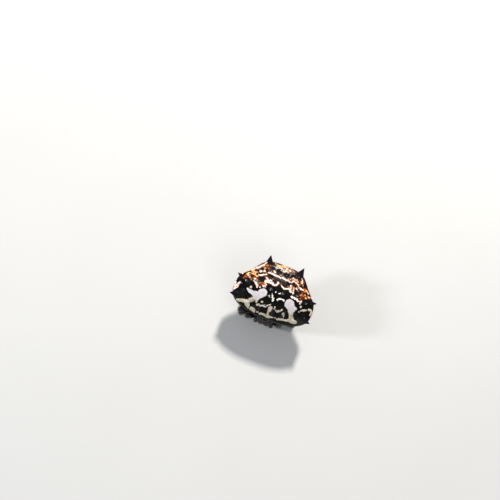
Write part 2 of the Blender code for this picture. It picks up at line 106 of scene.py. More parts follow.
# Marks of the shield by paint and name, each a chain of round dabs joined by tapering strokes. A dab is
# across, along and half width in mm, as the camera sees it from the crown, with +across to the spider's
# left and +along to its rear. Left and right in the names are the spider's own.
SHIELD_MARKS: dict[Paint, dict[str, Dabs]] = {
    # Lilac marks are the pale marks where sky light falls on the upper lobes: partly their own pale colour,
    # partly painted sky light.
    Paint.LILAC: {
        "right_lobe": ((-1.49, -0.63, 0.55), (-1.82, -1.01, 0.44)),
        "right_lobe_arm": (
            (-1.89, -0.99, 0.38), (-2.41, -1.04, 0.31), (-2.89, -0.93, 0.23), (-3.35, -0.80, 0.13),
        ),
        "left_lobe": ((1.98, -0.65, 0.60), (2.41, -1.07, 0.48)),
        "left_lobe_spur": ((2.66, -0.98, 0.26), (2.84, -0.90, 0.18)),
    },
    # Cream marks of the front slope are partly their own colour and partly painted shade: the same pale marks
    # as the lilac ones, darker and yellower where the slope turns from the light.
    Paint.CREAM: {
        "right_lobe_neck": ((-1.83, -1.30, 0.33), (-2.32, -1.65, 0.23), (-2.58, -2.01, 0.19)),
        "right_lobe_stem": ((-1.74, -1.50, 0.17), (-1.75, -1.81, 0.11)),
        "right_patch": ((-2.86, -2.30, 0.32), (-2.63, -2.56, 0.26), (-2.44, -2.85, 0.11)),
        "right_patch_arm": ((-3.01, -2.25, 0.23), (-3.51, -2.39, 0.17), (-4.07, -2.55, 0.15)),
        "left_lobe_neck": ((2.45, -1.42, 0.38), (2.61, -1.81, 0.25), (2.86, -2.18, 0.29)),
        "left_lobe_foot": ((2.49, -2.60, 0.14), (2.95, -2.42, 0.26), (3.53, -2.38, 0.13)),
        "front_line_first": ((-2.08, -2.84, 0.19), (-1.65, -2.95, 0.18)),
        "front_line_second": ((-1.28, -2.92, 0.08), (-0.99, -2.88, 0.06)),
        "front_line_third": (
            (-0.92, -3.00, 0.07), (-0.40, -3.00, 0.12), (0.17, -2.96, 0.14), (0.74, -2.87, 0.08),
        ),
        "front_line_dot": ((0.95, -2.79, 0.07),),
        "front_line_fourth": ((1.18, -2.85, 0.07), (1.75, -2.74, 0.11), (2.46, -2.60, 0.12)),
        "front_stem": ((0.08, -2.00, 0.23), (-0.01, -2.37, 0.14), (-0.01, -2.88, 0.13)),
        "front_drop": ((1.74, -2.02, 0.18), (1.86, -2.24, 0.07)),
        "brow_blot": ((-1.56, -2.09, 0.14), (-1.29, -2.05, 0.10)),
        "brow_dot": ((-1.16, -1.61, 0.11),),
        "front_bow": ((0.72, -1.87, 0.07), (0.99, -1.97, 0.11), (1.31, -1.84, 0.11), (1.48, -1.55, 0.07)),
        "left_chain_last_dot": ((3.42, -0.49, 0.10),),
        "right_cream_dot": ((-3.02, -0.47, 0.15),),
        "left_side_bar": ((3.60, -0.90, 0.10), (3.86, -0.76, 0.12), (4.12, -0.63, 0.10)),
        "left_side_bar_dot": ((3.37, -1.07, 0.10),),
        "left_side_corner": (
            (4.43, -0.50, 0.10), (4.62, -0.41, 0.13), (4.80, -0.55, 0.10), (4.77, -0.97, 0.12),
        ),
    },
    Paint.WHITE: {
        "brow_arch": (
            (-1.14, -2.15, 0.07), (-0.96, -1.92, 0.10), (-0.55, -1.94, 0.07), (-0.30, -1.69, 0.07),
            (-0.09, -1.53, 0.06),
        ),
        "middle_dot": ((0.52, -1.74, 0.10),),
        "crown_dot_right": ((-0.06, 0.05, 0.125),),
        "crown_dot_left": ((0.44, 0.06, 0.105), (0.56, 0.10, 0.10)),
        "crown_dot_outer": ((-0.65, -0.57, 0.115),),
        "crown_hook": ((-0.31, -0.41, 0.105), (-0.06, -0.75, 0.12), (-0.01, -1.10, 0.07)),
        "crown_bird": ((0.44, -0.73, 0.07), (0.60, -0.49, 0.10), (0.84, -0.46, 0.08), (1.26, -0.60, 0.05)),
        "rear_chain": (
            (-1.76, 1.90, 0.092), (-1.23, 1.93, 0.102), (-0.81, 1.88, 0.112), (-0.23, 1.88, 0.092),
            (0.35, 1.84, 0.112), (0.83, 1.93, 0.102), (1.22, 1.81, 0.112),
        ),
        "rear_chain_end": (
            (1.21, 1.78, 0.09), (1.55, 2.04, 0.10), (2.07, 1.89, 0.09), (2.44, 1.60, 0.10),
            (2.92, 1.41, 0.07),
        ),
        "middle_mass": (
            (-1.54, 0.89, 0.178), (-1.09, 0.99, 0.298), (-0.73, 0.85, 0.148), (-0.48, 0.76, 0.098),
            (-0.25, 0.87, 0.098), (-0.18, 1.15, 0.108),
        ),
        "middle_chain": (
            (0.34, 1.00, 0.082), (0.62, 0.83, 0.082), (0.89, 0.77, 0.102), (1.26, 0.96, 0.102),
            (1.55, 0.80, 0.122), (1.95, 0.73, 0.112),
        ),
        "middle_chain_blot": ((1.34, 1.45, 0.11), (1.46, 1.14, 0.11)),
        "left_chain": ((1.88, 0.24, 0.145), (2.25, 0.30, 0.135), (2.57, 0.19, 0.135), (2.86, 0.02, 0.135)),
        "middle_mass_spur": ((-1.73, 1.25, 0.07), (-1.42, 1.06, 0.11)),
        "middle_mass_tooth": ((-1.72, 0.82, 0.08), (-1.42, 0.86, 0.11)),
        "left_middle_grain": ((2.10, 1.37, 0.08), (2.27, 1.26, 0.08)),
        "left_rear_bar": ((2.39, 2.63, 0.08), (2.56, 2.19, 0.10)),
        "left_rear_dash": ((1.69, 3.00, 0.08), (2.03, 2.95, 0.07)),
        "left_rear_roof": ((1.16, 2.15, 0.08), (1.33, 2.43, 0.08), (1.68, 2.35, 0.06)),
        "right_rear_bar": ((-2.64, 1.20, 0.138), (-1.74, 1.58, 0.128)),
        "right_rear_dash": ((-2.58, 1.71, 0.12), (-2.17, 1.90, 0.11)),
        "right_middle_dot": ((-2.91, 0.60, 0.12),),
        "rear_edge_blot": ((-0.36, 2.91, 0.085), (-0.14, 2.73, 0.085)),
        "rear_edge_dash": ((0.15, 2.70, 0.085), (0.40, 2.80, 0.085)),
    },
    Paint.BLUSH: {
        "left_chain_tail": ((3.18, 0.15, 0.10), (3.23, -0.17, 0.11)),
        "left_middle_dash": ((1.86, 1.22, 0.10), (1.90, 1.00, 0.09)),
        "ridge_glow": ((-1.27, 2.47, 0.08), (-0.98, 2.24, 0.10)),
        "right_rear_glow": (
            (-3.46, 1.66, 0.09), (-3.02, 2.02, 0.14), (-2.62, 2.42, 0.14), (-2.28, 2.84, 0.11),
        ),
        "right_middle_bar": ((-2.82, 0.33, 0.13), (-2.33, -0.09, 0.15)),
        "right_middle_slope": ((-1.65, 0.08, 0.15), (-1.44, 0.50, 0.14)),
        "right_middle_second_dot": ((-1.96, -0.03, 0.12),),
        "right_side_fork": ((-5.02, -1.58, 0.14), (-4.72, -1.16, 0.20), (-4.50, -0.54, 0.17)),
        "right_side_prong": ((-4.78, -1.08, 0.17), (-5.02, -0.70, 0.15)),
        "right_side_strip": ((-5.07, 0.10, 0.10), (-5.12, -0.43, 0.08)),
        "right_rear_strip": ((-4.29, 1.41, 0.10), (-4.58, 0.68, 0.10)),
        "left_side_dash": ((3.88, 0.92, 0.10), (4.28, 0.94, 0.11)),
    },
    Paint.YOLK: {
        "right_rear_arc": (
            (-4.16, 1.10, 0.12), (-3.82, 1.46, 0.13), (-3.44, 1.47, 0.12), (-3.05, 1.34, 0.11),
        ),
        "right_rear_second_arc": (
            (-3.98, 0.87, 0.10), (-3.75, 1.13, 0.10), (-3.24, 1.11, 0.08), (-2.70, 0.99, 0.11),
        ),
        "rear_edge": ((-0.61, 3.13, 0.09), (-0.25, 3.25, 0.14), (0.23, 3.26, 0.11)),
        "rear_edge_cream": ((0.58, 3.38, 0.09), (0.98, 3.46, 0.09)),
        "rear_ridge": ((-1.76, 3.57, 0.03), (-1.26, 3.15, 0.05), (-0.59, 3.00, 0.09)),
        "left_side_loop": ((3.37, 1.49, 0.10), (3.73, 1.37, 0.10), (3.69, 1.08, 0.08)),
        "left_side_dot": ((3.11, 1.25, 0.10),),
    },
    Paint.RUST: {
        "right_side": ((-4.27, 0.27, 0.20), (-3.92, 0.63, 0.25), (-3.46, 0.43, 0.23)),
        "right_middle": ((-3.09, 0.73, 0.21), (-2.65, 0.58, 0.14)),
        "right_centre": ((-2.08, 0.24, 0.24), (-1.70, 0.57, 0.19)),
        "right_spine": ((-2.34, 2.32, 0.21), (-1.98, 2.71, 0.25), (-1.68, 2.45, 0.24), (-1.27, 2.33, 0.15)),
        "left_middle": ((1.20, 1.21, 0.21), (1.75, 1.33, 0.21)),
        "left_rear": ((1.39, 2.21, 0.18), (1.94, 2.33, 0.18), (2.37, 2.14, 0.15)),
        "left_side": ((3.00, 0.88, 0.23), (3.57, 0.80, 0.25), (3.04, 0.33, 0.19)),
        "left_edge": ((3.30, 1.41, 0.19), (2.91, 1.69, 0.14)),
        "rear_edge": ((0.55, 3.05, 0.18), (1.00, 3.08, 0.20), (1.39, 3.06, 0.18)),
    },
    Paint.INK: {
        "right_middle": ((-2.20, 0.81, 0.35),),
        "right_inner": ((-1.34, 1.54, 0.18),),
        "mass_dot": ((-1.07, 0.97, 0.07),),
        "right_rear": ((-3.04, 1.70, 0.17),),
        "left_side": ((2.42, 0.85, 0.25),),
        "left_middle": ((1.02, 1.35, 0.14),),
        "right_side": ((-3.47, -0.08, 0.27),),
        "right_corner": ((-4.62, 0.05, 0.19),),
        "rear_wedge": ((-1.77, 3.34, 0.20), (-1.20, 2.83, 0.23), (-0.67, 2.60, 0.18)),
        "rear_band": ((-0.67, 2.60, 0.16), (-0.04, 2.38, 0.17), (0.72, 2.25, 0.20)),
        "rear_band_end": ((0.72, 2.25, 0.20), (1.05, 2.36, 0.12)),
        "middle_band": ((-0.71, 1.41, 0.18), (-0.13, 1.44, 0.18), (0.87, 1.43, 0.17)),
        "left_rear": ((1.93, 2.58, 0.12), (2.18, 2.25, 0.13), (2.30, 1.98, 0.10)),
    },
}


def select_only(*objects: Piece) -> None:
    """Selects these objects alone and makes the first one active.

    Args:
        objects: the objects, the one to be active first.
    """
    bpy.ops.object.select_all(action="DESELECT")
    for obj in objects:
        obj.select_set(True)
    bpy.context.view_layer.objects.active = objects[0]


def read_points(obj: Piece) -> np.ndarray:
    """Returns the places of a mesh's vertices as an array of n rows.

    Args:
        obj: the piece.

    Returns:
        One row of x, y and z for each vertex.
    """
    points = np.zeros(len(obj.data.vertices) * 3, np.float32)
    obj.data.vertices.foreach_get("co", points)
    return points.reshape(-1, 3).astype(float)


def write_points(obj: Piece, points: np.ndarray) -> None:
    """Sets the places of a mesh's vertices."""
    obj.data.vertices.foreach_set("co", points.astype(np.float32).ravel())
    obj.data.update()


def write_attribute(obj: Piece, name: str, values: np.ndarray) -> None:
    """Stores one number for each vertex under a name that materials can read."""
    made = obj.data.attributes.new(name, "FLOAT", "POINT")
    made.data.foreach_set("value", values.astype(np.float32))


def smoothstep(values: np.ndarray, low: float, high: float) -> np.ndarray:
    """Runs from 0 at low to 1 at high, with level ends."""
    share = np.clip((values - low) / (high - low), 0.0, 1.0)
    return share * share * (3.0 - 2.0 * share)


def spline(points: Sequence[Sequence[float]], steps: int, closed: bool = False) -> np.ndarray:
    """Samples a smooth curve through points.

    Args:
        points: the points that the curve goes through.
        steps: samples for each span between two points.
        closed: whether the curve returns to its first point.

    Returns:
        The samples, one row each.
    """
    held = np.asarray(points, float)
    count = len(held)
    spans = count if closed else count - 1
    sampled = []
    for span in range(spans):
        picks = [span + offset for offset in (-1, 0, 1, 2)]
        picks = [pick % count if closed else min(max(pick, 0), count - 1) for pick in picks]
        before, start, end, after = held[picks]
        for step in range(steps):
            t = step / steps
            straight = 2.0 * start + (end - before) * t
            curved = (2.0 * before - 5.0 * start + 4.0 * end - after) * t**2
            sampled.append(0.5 * (straight + curved + (3.0 * start - before - 3.0 * end + after) * t**3))
    if not closed:
        sampled.append(held[-1])
    return np.array(sampled)


def lofted(name: str, first: Sequence[float], rings: np.ndarray, last: Sequence[float]) -> Piece:
    """Stretches a ball primitive over rings of points, its poles at both ends.

    Args:
        name: name of the piece.
        first: place of the upper pole.
        rings: rows by sides by three places.
        last: place of the lower pole.

    Returns:
        The closed piece.
    """
    rows, sides, _ = rings.shape
    bpy.ops.mesh.primitive_uv_sphere_add(segments=sides, ring_count=rows + 1, radius=1.0)
    obj = bpy.context.object
    obj.name = name
    unit = read_points(obj)
    tilt = np.arccos(np.clip(unit[:, 2], -1.0, 1.0)) / math.pi
    turn = np.mod(np.arctan2(unit[:, 1], unit[:, 0]) / (2.0 * math.pi), 1.0)
    row = np.rint(tilt * (rows + 1)).astype(int)
    side = np.rint(turn * sides).astype(int) % sides
    top = np.broadcast_to(np.asarray(first, float), (1, sides, 3))
    bottom = np.broadcast_to(np.asarray(last, float), (1, sides, 3))
    table = np.concatenate([top, rings, bottom])
    write_points(obj, table[row, side])
    return faced_outwards(obj)


def faced_outwards(obj: Piece) -> Piece:
    """Turns all faces of a closed piece outwards.

    Args:
        obj: the piece.

    Returns:
        The same piece.
    """
    select_only(obj)
    bpy.ops.object.mode_set(mode="EDIT")
    bpy.ops.mesh.select_all(action="SELECT")
    bpy.ops.mesh.normals_make_consistent(inside=False)
    bpy.ops.object.mode_set(mode="OBJECT")
    return obj


def ellipsoid(
    name: str, centre: Sequence[float], radii: Sequence[float], sides: int = 40, rows: int = 24
) -> Piece:
    """Makes a ball stretched to three radii, upright.

    Args:
        name: name of the piece.
        centre: its middle.
        radii: its half sizes along X, Y and Z.
        sides: faces around it.
        rows: rings of faces from pole to pole.

    Returns:
        The closed piece.
    """
    bpy.ops.mesh.primitive_uv_sphere_add(segments=sides, ring_count=rows, radius=1.0)
    obj = bpy.context.object
    obj.name = name
    write_points(obj, read_points(obj) * np.asarray(radii) + np.asarray(centre))
    return obj


def swept(name: str, path: np.ndarray, radii: Sequence[float], sides: int) -> Piece:
    """Makes a round solid along a path.

    Args:
        name: name of the piece.
        path: the points along its middle.
        radii: its radius at each of those points.
        sides: faces around it.

    Returns:
        The closed piece, with a low dome at each end.
    """
    turns = np.linspace(0.0, 2.0 * math.pi, sides, endpoint=False)
    rings = []
    side_way = None
    for index, point in enumerate(path):
        ahead = Vector(path[min(index + 1, len(path) - 1)] - path[max(index - 1, 0)]).normalized()
        if side_way is None:
            side_way = ahead.orthogonal().normalized()
        side_way = (side_way - ahead * side_way.dot(ahead)).normalized()
        other = np.array(ahead.cross(side_way))
        circle = np.outer(np.cos(turns), np.array(side_way)) + np.outer(np.sin(turns), other)
        rings.append(point + radii[index] * circle)
    start = path[0] - unit_way(path[1] - path[0]) * radii[0] * END_DOME
    end = path[-1] + unit_way(path[-1] - path[-2]) * radii[-1] * END_DOME
    return lofted(name, start, np.array(rings), end)


def unit_way(way: np.ndarray) -> np.ndarray:
    """Returns a direction with length one."""
    return way / max(float(np.linalg.norm(way)), 1e-9)


def fused(name: str, pieces: list[Piece], voxel: float, calm: int) -> Piece:
    """Grows overlapping pieces together into one smooth closed skin.

    Args:
        name: name of the skin.
        pieces: the closed pieces.
        voxel: size of its faces in mm.
        calm: rounds of smoothing.

    Returns:
        The skin, without loose scraps.
    """
    select_only(*pieces)
    bpy.ops.object.join()
    obj = bpy.context.object
    obj.name = name
    grow = obj.modifiers.new("grow together", "REMESH")
    grow.mode = "VOXEL"
    grow.voxel_size = voxel
    bpy.ops.object.modifier_apply(modifier=grow.name)
    if calm:
        calming = obj.modifiers.new("calm", "SMOOTH")
        calming.factor = 0.5
        calming.iterations = calm
        bpy.ops.object.modifier_apply(modifier=calming.name)
    return without_scraps(obj)


def without_scraps(obj: Piece) -> Piece:
    """Keeps only the largest closed surface of a mesh.

    Args:
        obj: the mesh, which is taken apart.

    Returns:
        The surface that is kept, under the same name.
    """
    name = obj.name
    select_only(obj)
    bpy.ops.mesh.separate(type="LOOSE")
    parts = sorted(bpy.context.selected_objects, key=lambda part: len(part.data.vertices))
    kept = parts.pop()
    for part in parts:
        bpy.data.objects.remove(part, do_unlink=True)
    kept.name = name
    select_only(kept)
    return kept


def frame_shift() -> np.ndarray:
    """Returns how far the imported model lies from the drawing, in mm."""
    low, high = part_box("spinnerets")
    return np.array((0.0, (low.y + high.y) / (2.0 * MM) - SPINNERET_CENTRE_Y, 0.0))


def settle(obj: Piece, finish: bpy.types.Material, replaced: Iterable[str] = ()) -> None:
    """Turns a modelled piece into metres, dresses it and ties it to the frame.

    Args:
        obj: the piece, modelled in mm.
        finish: its material.
        replaced: the nodes that it stands for.
    """
    write_points(obj, (read_points(obj) + frame_shift()) * MM)
    obj.data.materials.clear()
    obj.data.materials.append(finish)
    obj.data.shade_smooth()
    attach(obj, BODY)
    if replaced:
        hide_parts(*replaced)
    obj.data.calc_loop_triangles()
    LOG.info("%s: %d triangles", obj.name, len(obj.data.loop_triangles))


class NodeBoard:
    """Lays out the nodes of one material, with coordinates in millimetres."""

    def __init__(self, name: str) -> None:
        """Starts a material with a Principled shader.

        Args:
            name: name of the material.
        """
        self.material = bpy.data.materials.new(name)
        self.material.use_nodes = True
        self.tree = self.material.node_tree
        self.shader = self.tree.nodes["Principled BSDF"]
        source = self.tree.nodes.new("ShaderNodeTexCoord")
        scaled = self.tree.nodes.new("ShaderNodeMapping")
        scaled.inputs["Scale"].default_value = (1.0 / MM,) * 3
        self.tree.links.new(source.outputs["Object"], scaled.inputs["Vector"])
        self.place = scaled.outputs["Vector"]

    def feed(self, socket: Socket, value: object) -> None:
        """Links a socket to another one, or sets it to a plain value.

        Args:
            socket: the input.
            value: another socket, a number or a colour.
        """
        if isinstance(value, Socket):
            self.tree.links.new(value, socket)
        elif isinstance(value, tuple) and len(value) == 3 and socket.type == "RGBA":
            socket.default_value = (*value, 1.0)
        else:
            socket.default_value = value

    def attribute(self, name: str) -> Socket:
        """Reads one of the mesh's own numbers.

        Args:
            name: name of the attribute.

        Returns:
            Its value.
        """
        node = self.tree.nodes.new("ShaderNodeAttribute")
        node.attribute_name = name
        return node.outputs["Fac"]

    def noise(self, scale: float, detail: float, roughness: float = 0.55) -> Socket:
        """Cloudy noise with scale features to a millimetre.

        Args:
            scale: features to a millimetre.
            detail: levels of finer noise.
            roughness: how strong each finer level is.

        Returns:
            The noise, about 0.5 on average.
        """
        node = self.tree.nodes.new("ShaderNodeTexNoise")
        self.feed(node.inputs["Vector"], self.place)
        node.inputs["Scale"].default_value = scale
        node.inputs["Detail"].default_value = detail
        node.inputs["Roughness"].default_value = roughness
        return node.outputs["Fac"]

    def points(self, scale: float) -> bpy.types.Node:
        """Scattered points, scale of them to a millimetre.

        Args:
            scale: points to a millimetre.

        Returns:
            The node.
        """
        node = self.tree.nodes.new("ShaderNodeTexVoronoi")
        self.feed(node.inputs["Vector"], self.place)
        node.inputs["Scale"].default_value = scale
        return node

    def cells(self, scale: float) -> Socket:
        """Distance to the nearest of scattered points."""
        return self.points(scale).outputs["Distance"]

    def scattered(self, scale: float) -> tuple[Socket, Socket]:
        """Distance to the nearest of scattered points, and a random share of each point's own.

        Args:
            scale: points to a millimetre.

        Returns:
            The distance and the share.
        """
        node = self.points(scale)
        parts = self.tree.nodes.new("ShaderNodeSeparateColor")
        self.feed(parts.inputs["Color"], node.outputs["Color"])
        return node.outputs["Distance"], parts.outputs["Red"]

    def maths(self, operation: str, first: object, second: object) -> Socket:
        """One arithmetic step on two numbers.

        Args:
            operation: name of the step.
            first: a socket or number.
            second: a socket or number.

        Returns:
            The result.
        """
        node = self.tree.nodes.new("ShaderNodeMath")
        node.operation = operation
        self.feed(node.inputs[0], first)
        self.feed(node.inputs[1], second)
        return node.outputs["Value"]

    def plus(self, first: object, second: object) -> Socket:
        """Sum of two numbers."""
        return self.maths("ADD", first, second)

    def times(self, first: object, second: object) -> Socket:
        """Product of two numbers."""
        return self.maths("MULTIPLY", first, second)

    def window(
        self, value: object, low: float, high: float, start: float = 0.0, end: float = 1.0
    ) -> Socket:
        """Runs smoothly from start to end as the value goes from low to high.

        Args:
            value: a socket or number.
            low: value at which the run starts.
            high: value at which it ends.
            start: result up to low.
            end: result from high on.

        Returns:
            The result.
        """
        node = self.tree.nodes.new("ShaderNodeMapRange")
        node.interpolation_type = "SMOOTHSTEP"
        self.feed(node.inputs["Value"], value)
        node.inputs["From Min"].default_value = low
        node.inputs["From Max"].default_value = high
        node.inputs["To Min"].default_value = start
        node.inputs["To Max"].default_value = end
        return node.outputs["Result"]

    def mix(self, share: object, first: object, second: object) -> Socket:
        """Mixes two colours by a share.

        Args:
            share: how much of the second colour shows, from 0 to 1.
            first: a socket or colour.
            second: a socket or colour.

        Returns:
            The mixed colour.
        """
        node = self.tree.nodes.new("ShaderNodeMix")
        node.data_type = "RGBA"
        self.feed(node.inputs[0], share)
        self.feed(node.inputs[6], first)
        self.feed(node.inputs[7], second)
        return node.outputs[2]

    def axis(self, name: str) -> Socket:
        """One coordinate in mm.

        Args:
            name: X, Y or Z.

        Returns:
            The coordinate.
        """
        node = self.tree.nodes.new("ShaderNodeSeparateXYZ")
        self.feed(node.inputs["Vector"], self.place)
        return node.outputs[name]

    def relief(self, height: object, distance: float, below: Socket | None = None) -> Socket:
        """Bump of a height, distance mm deep, laid over an earlier bump.

        Args:
            height: a socket, 0 in the hollows and 1 on the heights.
            distance: depth in mm.
            below: the earlier bump.

        Returns:
            The normal.
        """
        node = self.tree.nodes.new("ShaderNodeBump")
        node.inputs["Strength"].default_value = 1.0
        node.inputs["Distance"].default_value = distance * MM
        self.feed(node.inputs["Height"], height)
        if below is not None:
            self.feed(node.inputs["Normal"], below)
        return node.outputs["Normal"]

    def finish(self, colour: object, roughness: object, normal: object, **fixed: float) -> bpy.types.Material:
        """Feeds the shader and returns the material; fixed values go straight on its sockets.

        Args:
            colour: base colour.
            roughness: roughness.
            normal: normal of the last bump.
            fixed: values that are the same all over, by their names in FIXED_SOCKETS.

        Returns:
            The material.
        """
        self.feed(self.shader.inputs["Base Color"], colour)
        self.feed(self.shader.inputs["Roughness"], roughness)
        self.feed(self.shader.inputs["Normal"], normal)
        for name, value in fixed.items():
            self.shader.inputs[FIXED_SOCKETS[name]].default_value = value
        return self.material


@dataclass(frozen=True)
class Tones:
    """Colours of one paint, from its shaded parts to its bright grains.

    Args:
        dark: colour where it is thin or in shade.
        body: its common colour.
        bright: colour of its brightest grains.
        edge: half width of its soft edge in mm.
        beaded: whether its outline is beaded.
        mottle: how much of it turns to the dark colour.
    """

    dark: Place
    body: Place
    bright: Place
    edge: float
    beaded: bool = True
    mottle: float = 0.0


@dataclass(frozen=True)
class ShieldFinish:
    """Glossy black cuticle with the shield's painted marks, and black spines, with a painted reflection in
    front and painted sunlight behind the crown.

    Args:
        rear_swell: how much broader the beaded marks are behind the crown, in mm.
        ripple: how far fine noise moves the edge of a mark, in mm.
        sway: how far slower noise moves it, in mm.
        bead_scale: beads to a millimetre along the edge of a mark.
        bead_radius: size of a bead, as a share of the space that it has.
        bead_depth: how far the beads stand out of the edge, in mm.
        beaded_ripple: how much further noise moves the edge of a beaded mark.
        rear_from: place along in mm from which the rear's looks set in, and where they are full; behind the
            crown these include painted sunlight.
        grain_low: noise below which a paint shows its dark tone.
        fringe_width: width of the painted glow fringe inside a mark's edge, in mm.
        fringe_share: how much of the painted glow fringe's colour shows there.
        gloss: roughness of the smoothest and the dullest cuticle.
        paint_dulls: roughness that pale paint adds.
        sigillum_dulls: roughness that a sigillum adds.
        ink_dulls: roughness that the plain black bands add.
    """

    crown_black: Place = (0.0030, 0.0030, 0.0033)
    # Olive-black of the front slope: a painted reflection of green surroundings on the shaded front.
    front_black: Place = (0.0085, 0.0095, 0.0045)
    # Black-brown behind the crown: partly the cuticle's own tone, partly painted sunlight; also the dark
    # seams between the rust beads.
    rear_black: Place = (0.016, 0.0065, 0.0048)
    sigillum: Place = (0.0060, 0.0048, 0.0075)
    spine: Place = (0.0085, 0.0060, 0.0095)
    # Red-brown of the specks, and of the painted glow of sunlight round the pale marks behind the crown.
    ember: Place = (0.17, 0.030, 0.008)
    # Peach fringe inside the edges of the rear marks: partly their own edge colour, partly painted glow of
    # sunlight through them.
    fringe: Place = (0.62, 0.20, 0.065)
    speck: Place = (0.88, 0.52, 0.28)
    gold: Place = (0.92, 0.56, 0.16)
    pearl: Place = (0.98, 0.84, 0.66)
    rear_swell: float = 0.022
    ripple: float = 0.12
    sway: float = 0.22
    bead_scale: float = 4.6
    bead_radius: float = 0.42
    bead_depth: float = 0.20
    beaded_ripple: float = 1.5
    rear_from: tuple[float, float] = (-0.4, 1.2)
    grain_low: float = 0.36
    fringe_width: float = 0.065
    fringe_share: float = 0.85
    gloss: tuple[float, float] = (0.14, 0.26)
    paint_dulls: float = 0.22
    sigillum_dulls: float = 0.20
    ink_dulls: float = 0.34
    paints: dict[Paint, Tones] = field(
        default_factory=lambda: {
            Paint.RUST: Tones((0.12, 0.018, 0.006), (0.46, 0.080, 0.018), (0.90, 0.42, 0.13), 0.09),
            Paint.YOLK: Tones((0.50, 0.18, 0.035), (0.80, 0.45, 0.14), (0.97, 0.77, 0.44), 0.026),
            # On the shield's front, cream and lilac are partly painted light: the pale marks in shade and in
            # sky light.
            Paint.CREAM: Tones((0.46, 0.39, 0.26), (0.57, 0.50, 0.38), (0.66, 0.60, 0.49), 0.018, False),
            Paint.LILAC: Tones((0.52, 0.47, 0.43), (0.60, 0.555, 0.58), (0.66, 0.63, 0.71), 0.018, False),
            Paint.BLUSH: Tones((0.80, 0.40, 0.26), (0.93, 0.77, 0.71), (1.0, 0.93, 0.90), 0.034, True, 0.045),
            Paint.WHITE: Tones((0.84, 0.60, 0.38), (0.95, 0.86, 0.73), (1.0, 0.95, 0.87), 0.020),
        }
    )

    def make(self) -> bpy.types.Material:
        """Lays out the nodes.

        Returns:
            The material.
        """
        board = NodeBoard("painted shield")
        fine = board.noise(9.0, 4.0, 0.65)
        middling = board.noise(3.4, 2.0)
        broad = board.noise(1.6, 3.0)
        ripple = board.times(board.maths("SUBTRACT", fine, 0.5), self.ripple)
        sway = board.times(board.maths("SUBTRACT", middling, 0.5), self.sway)
        calm = board.plus(ripple, sway)
        beads = board.maths("SUBTRACT", self.bead_radius, board.cells(self.bead_scale))
        rough = board.plus(board.times(calm, self.beaded_ripple), board.times(beads, self.bead_depth))
        # Behind the crown the rear's own looks (broader marks, specks) and painted sunlight (brown ground,
        # glow, fringes) set in.
        rearwards = board.window(board.axis("Y"), *self.rear_from)
        colour = self.ground(board, rearwards, broad, middling, rough)
        grains = board.plus(board.times(fine, 0.6), board.times(middling, 0.4))
        pale = None
        for paint, tones in self.paints.items():
            depth = board.plus(board.attribute(paint.value), rough if tones.beaded else calm)
            if tones.beaded:
                depth = board.plus(depth, board.times(rearwards, self.rear_swell))
            share = board.window(depth, -tones.edge, tones.edge)
            tint = self.grained(board, tones, grains)
            if paint is Paint.RUST:
                colour = board.mix(share, colour, self.mosaic(board, tint))
                colour = self.specks(board, rearwards, grains, colour)
                continue
            if tones.beaded:
                # Painted glow, partly the marks' own edge colour: a peach fringe inside the edge, behind the
                # crown only.
                rim = board.times(board.window(depth, 0.0, self.fringe_width, 1.0, 0.0), rearwards)
                tint = board.mix(board.times(rim, self.fringe_share), tint, self.fringe)
            colour = board.mix(share, colour, tint)
            pale = share if pale is None else board.maths("MAXIMUM", pale, share)
        bare = board.maths("SUBTRACT", 1.0, pale)
        sunk = board.times(board.attribute("sigillum"), bare)
        colour = board.mix(board.window(sunk, 0.15, 0.75), colour, self.sigillum)
        colour = board.mix(board.times(board.attribute("spine"), bare), colour, self.spine)
        roughness = board.window(fine, 0.3, 0.7, *self.gloss)
        roughness = board.plus(roughness, board.times(pale, self.paint_dulls))
        roughness = board.plus(roughness, board.times(sunk, self.sigillum_dulls))
        ink = board.attribute(Paint.INK.value)
        roughness = board.plus(roughness, board.window(ink, -0.12, 0.06, 0.0, self.ink_dulls))
        normal = board.relief(board.cells(16.0), 0.003)
        normal = board.relief(fine, 0.006, normal)
        normal = board.relief(broad, 0.05, normal)
        return board.finish(
            colour, roughness, normal, specular_ior_level=0.10, coat_weight=0.04, coat_roughness=0.05
        )

    def grained(self, board: NodeBoard, tones: Tones, grains: object) -> Socket:
        """Lets the grains of a paint run from its dark to its bright tone.

        Args:
            board: the nodes of the material.
            tones: the colours of the paint.
            grains: the noise that the grains follow.

        Returns:
            The colour.
        """
        low = self.grain_low + tones.mottle
        tint = board.mix(board.window(grains, low, low + 0.16), tones.dark, tones.body)
        return board.mix(board.window(grains, low + 0.14, low + 0.26), tint, tones.bright)

    def mosaic(self, board: NodeBoard, tint: object) -> Socket:
        """Breaks the rust into beads with dark seams, some of them yellow and a few nearly white.

        Args:
            board: the nodes of the material.
            tint: colour of the rust.

        Returns:
            The colour.
        """
        away, chance = board.scattered(2.9)
        core = board.window(away, 0.20, 0.44, 1.0, 0.0)
        tint = board.mix(board.times(board.window(chance, 0.36, 0.46), core), tint, self.gold)
        tint = board.mix(board.times(board.window(chance, 0.68, 0.78), core), tint, self.pearl)
        seam = board.times(board.window(away, 0.48, 0.70), 0.8)
        return board.mix(seam, tint, self.rear_black)

    def specks(self, board: NodeBoard, rearwards: object, grains: object, colour: object) -> Socket:
        """Strews small pale and orange grains over the ground between the rear marks.

        Args:
            board: the nodes of the material.
            rearwards: 0 in front of the crown to 1 well behind it.
            grains: noise that picks a speck's colour.
            colour: colour of the ground.

        Returns:
            The colour of both.
        """
        away, chance = board.scattered(3.6)
        size = board.window(chance, 0.38, 1.0, 0.0, 0.40)
        near = board.maths("MAXIMUM", board.attribute("near_pale"), board.attribute("near_rust"))
        near = board.window(near, -0.40, -0.16)
        round_share = board.window(board.maths("SUBTRACT", size, away), -0.06, 0.06)
        share = board.times(board.times(round_share, near), rearwards)
        tint = board.mix(board.window(grains, 0.42, 0.58), self.ember, self.speck)
        return board.mix(share, colour, tint)

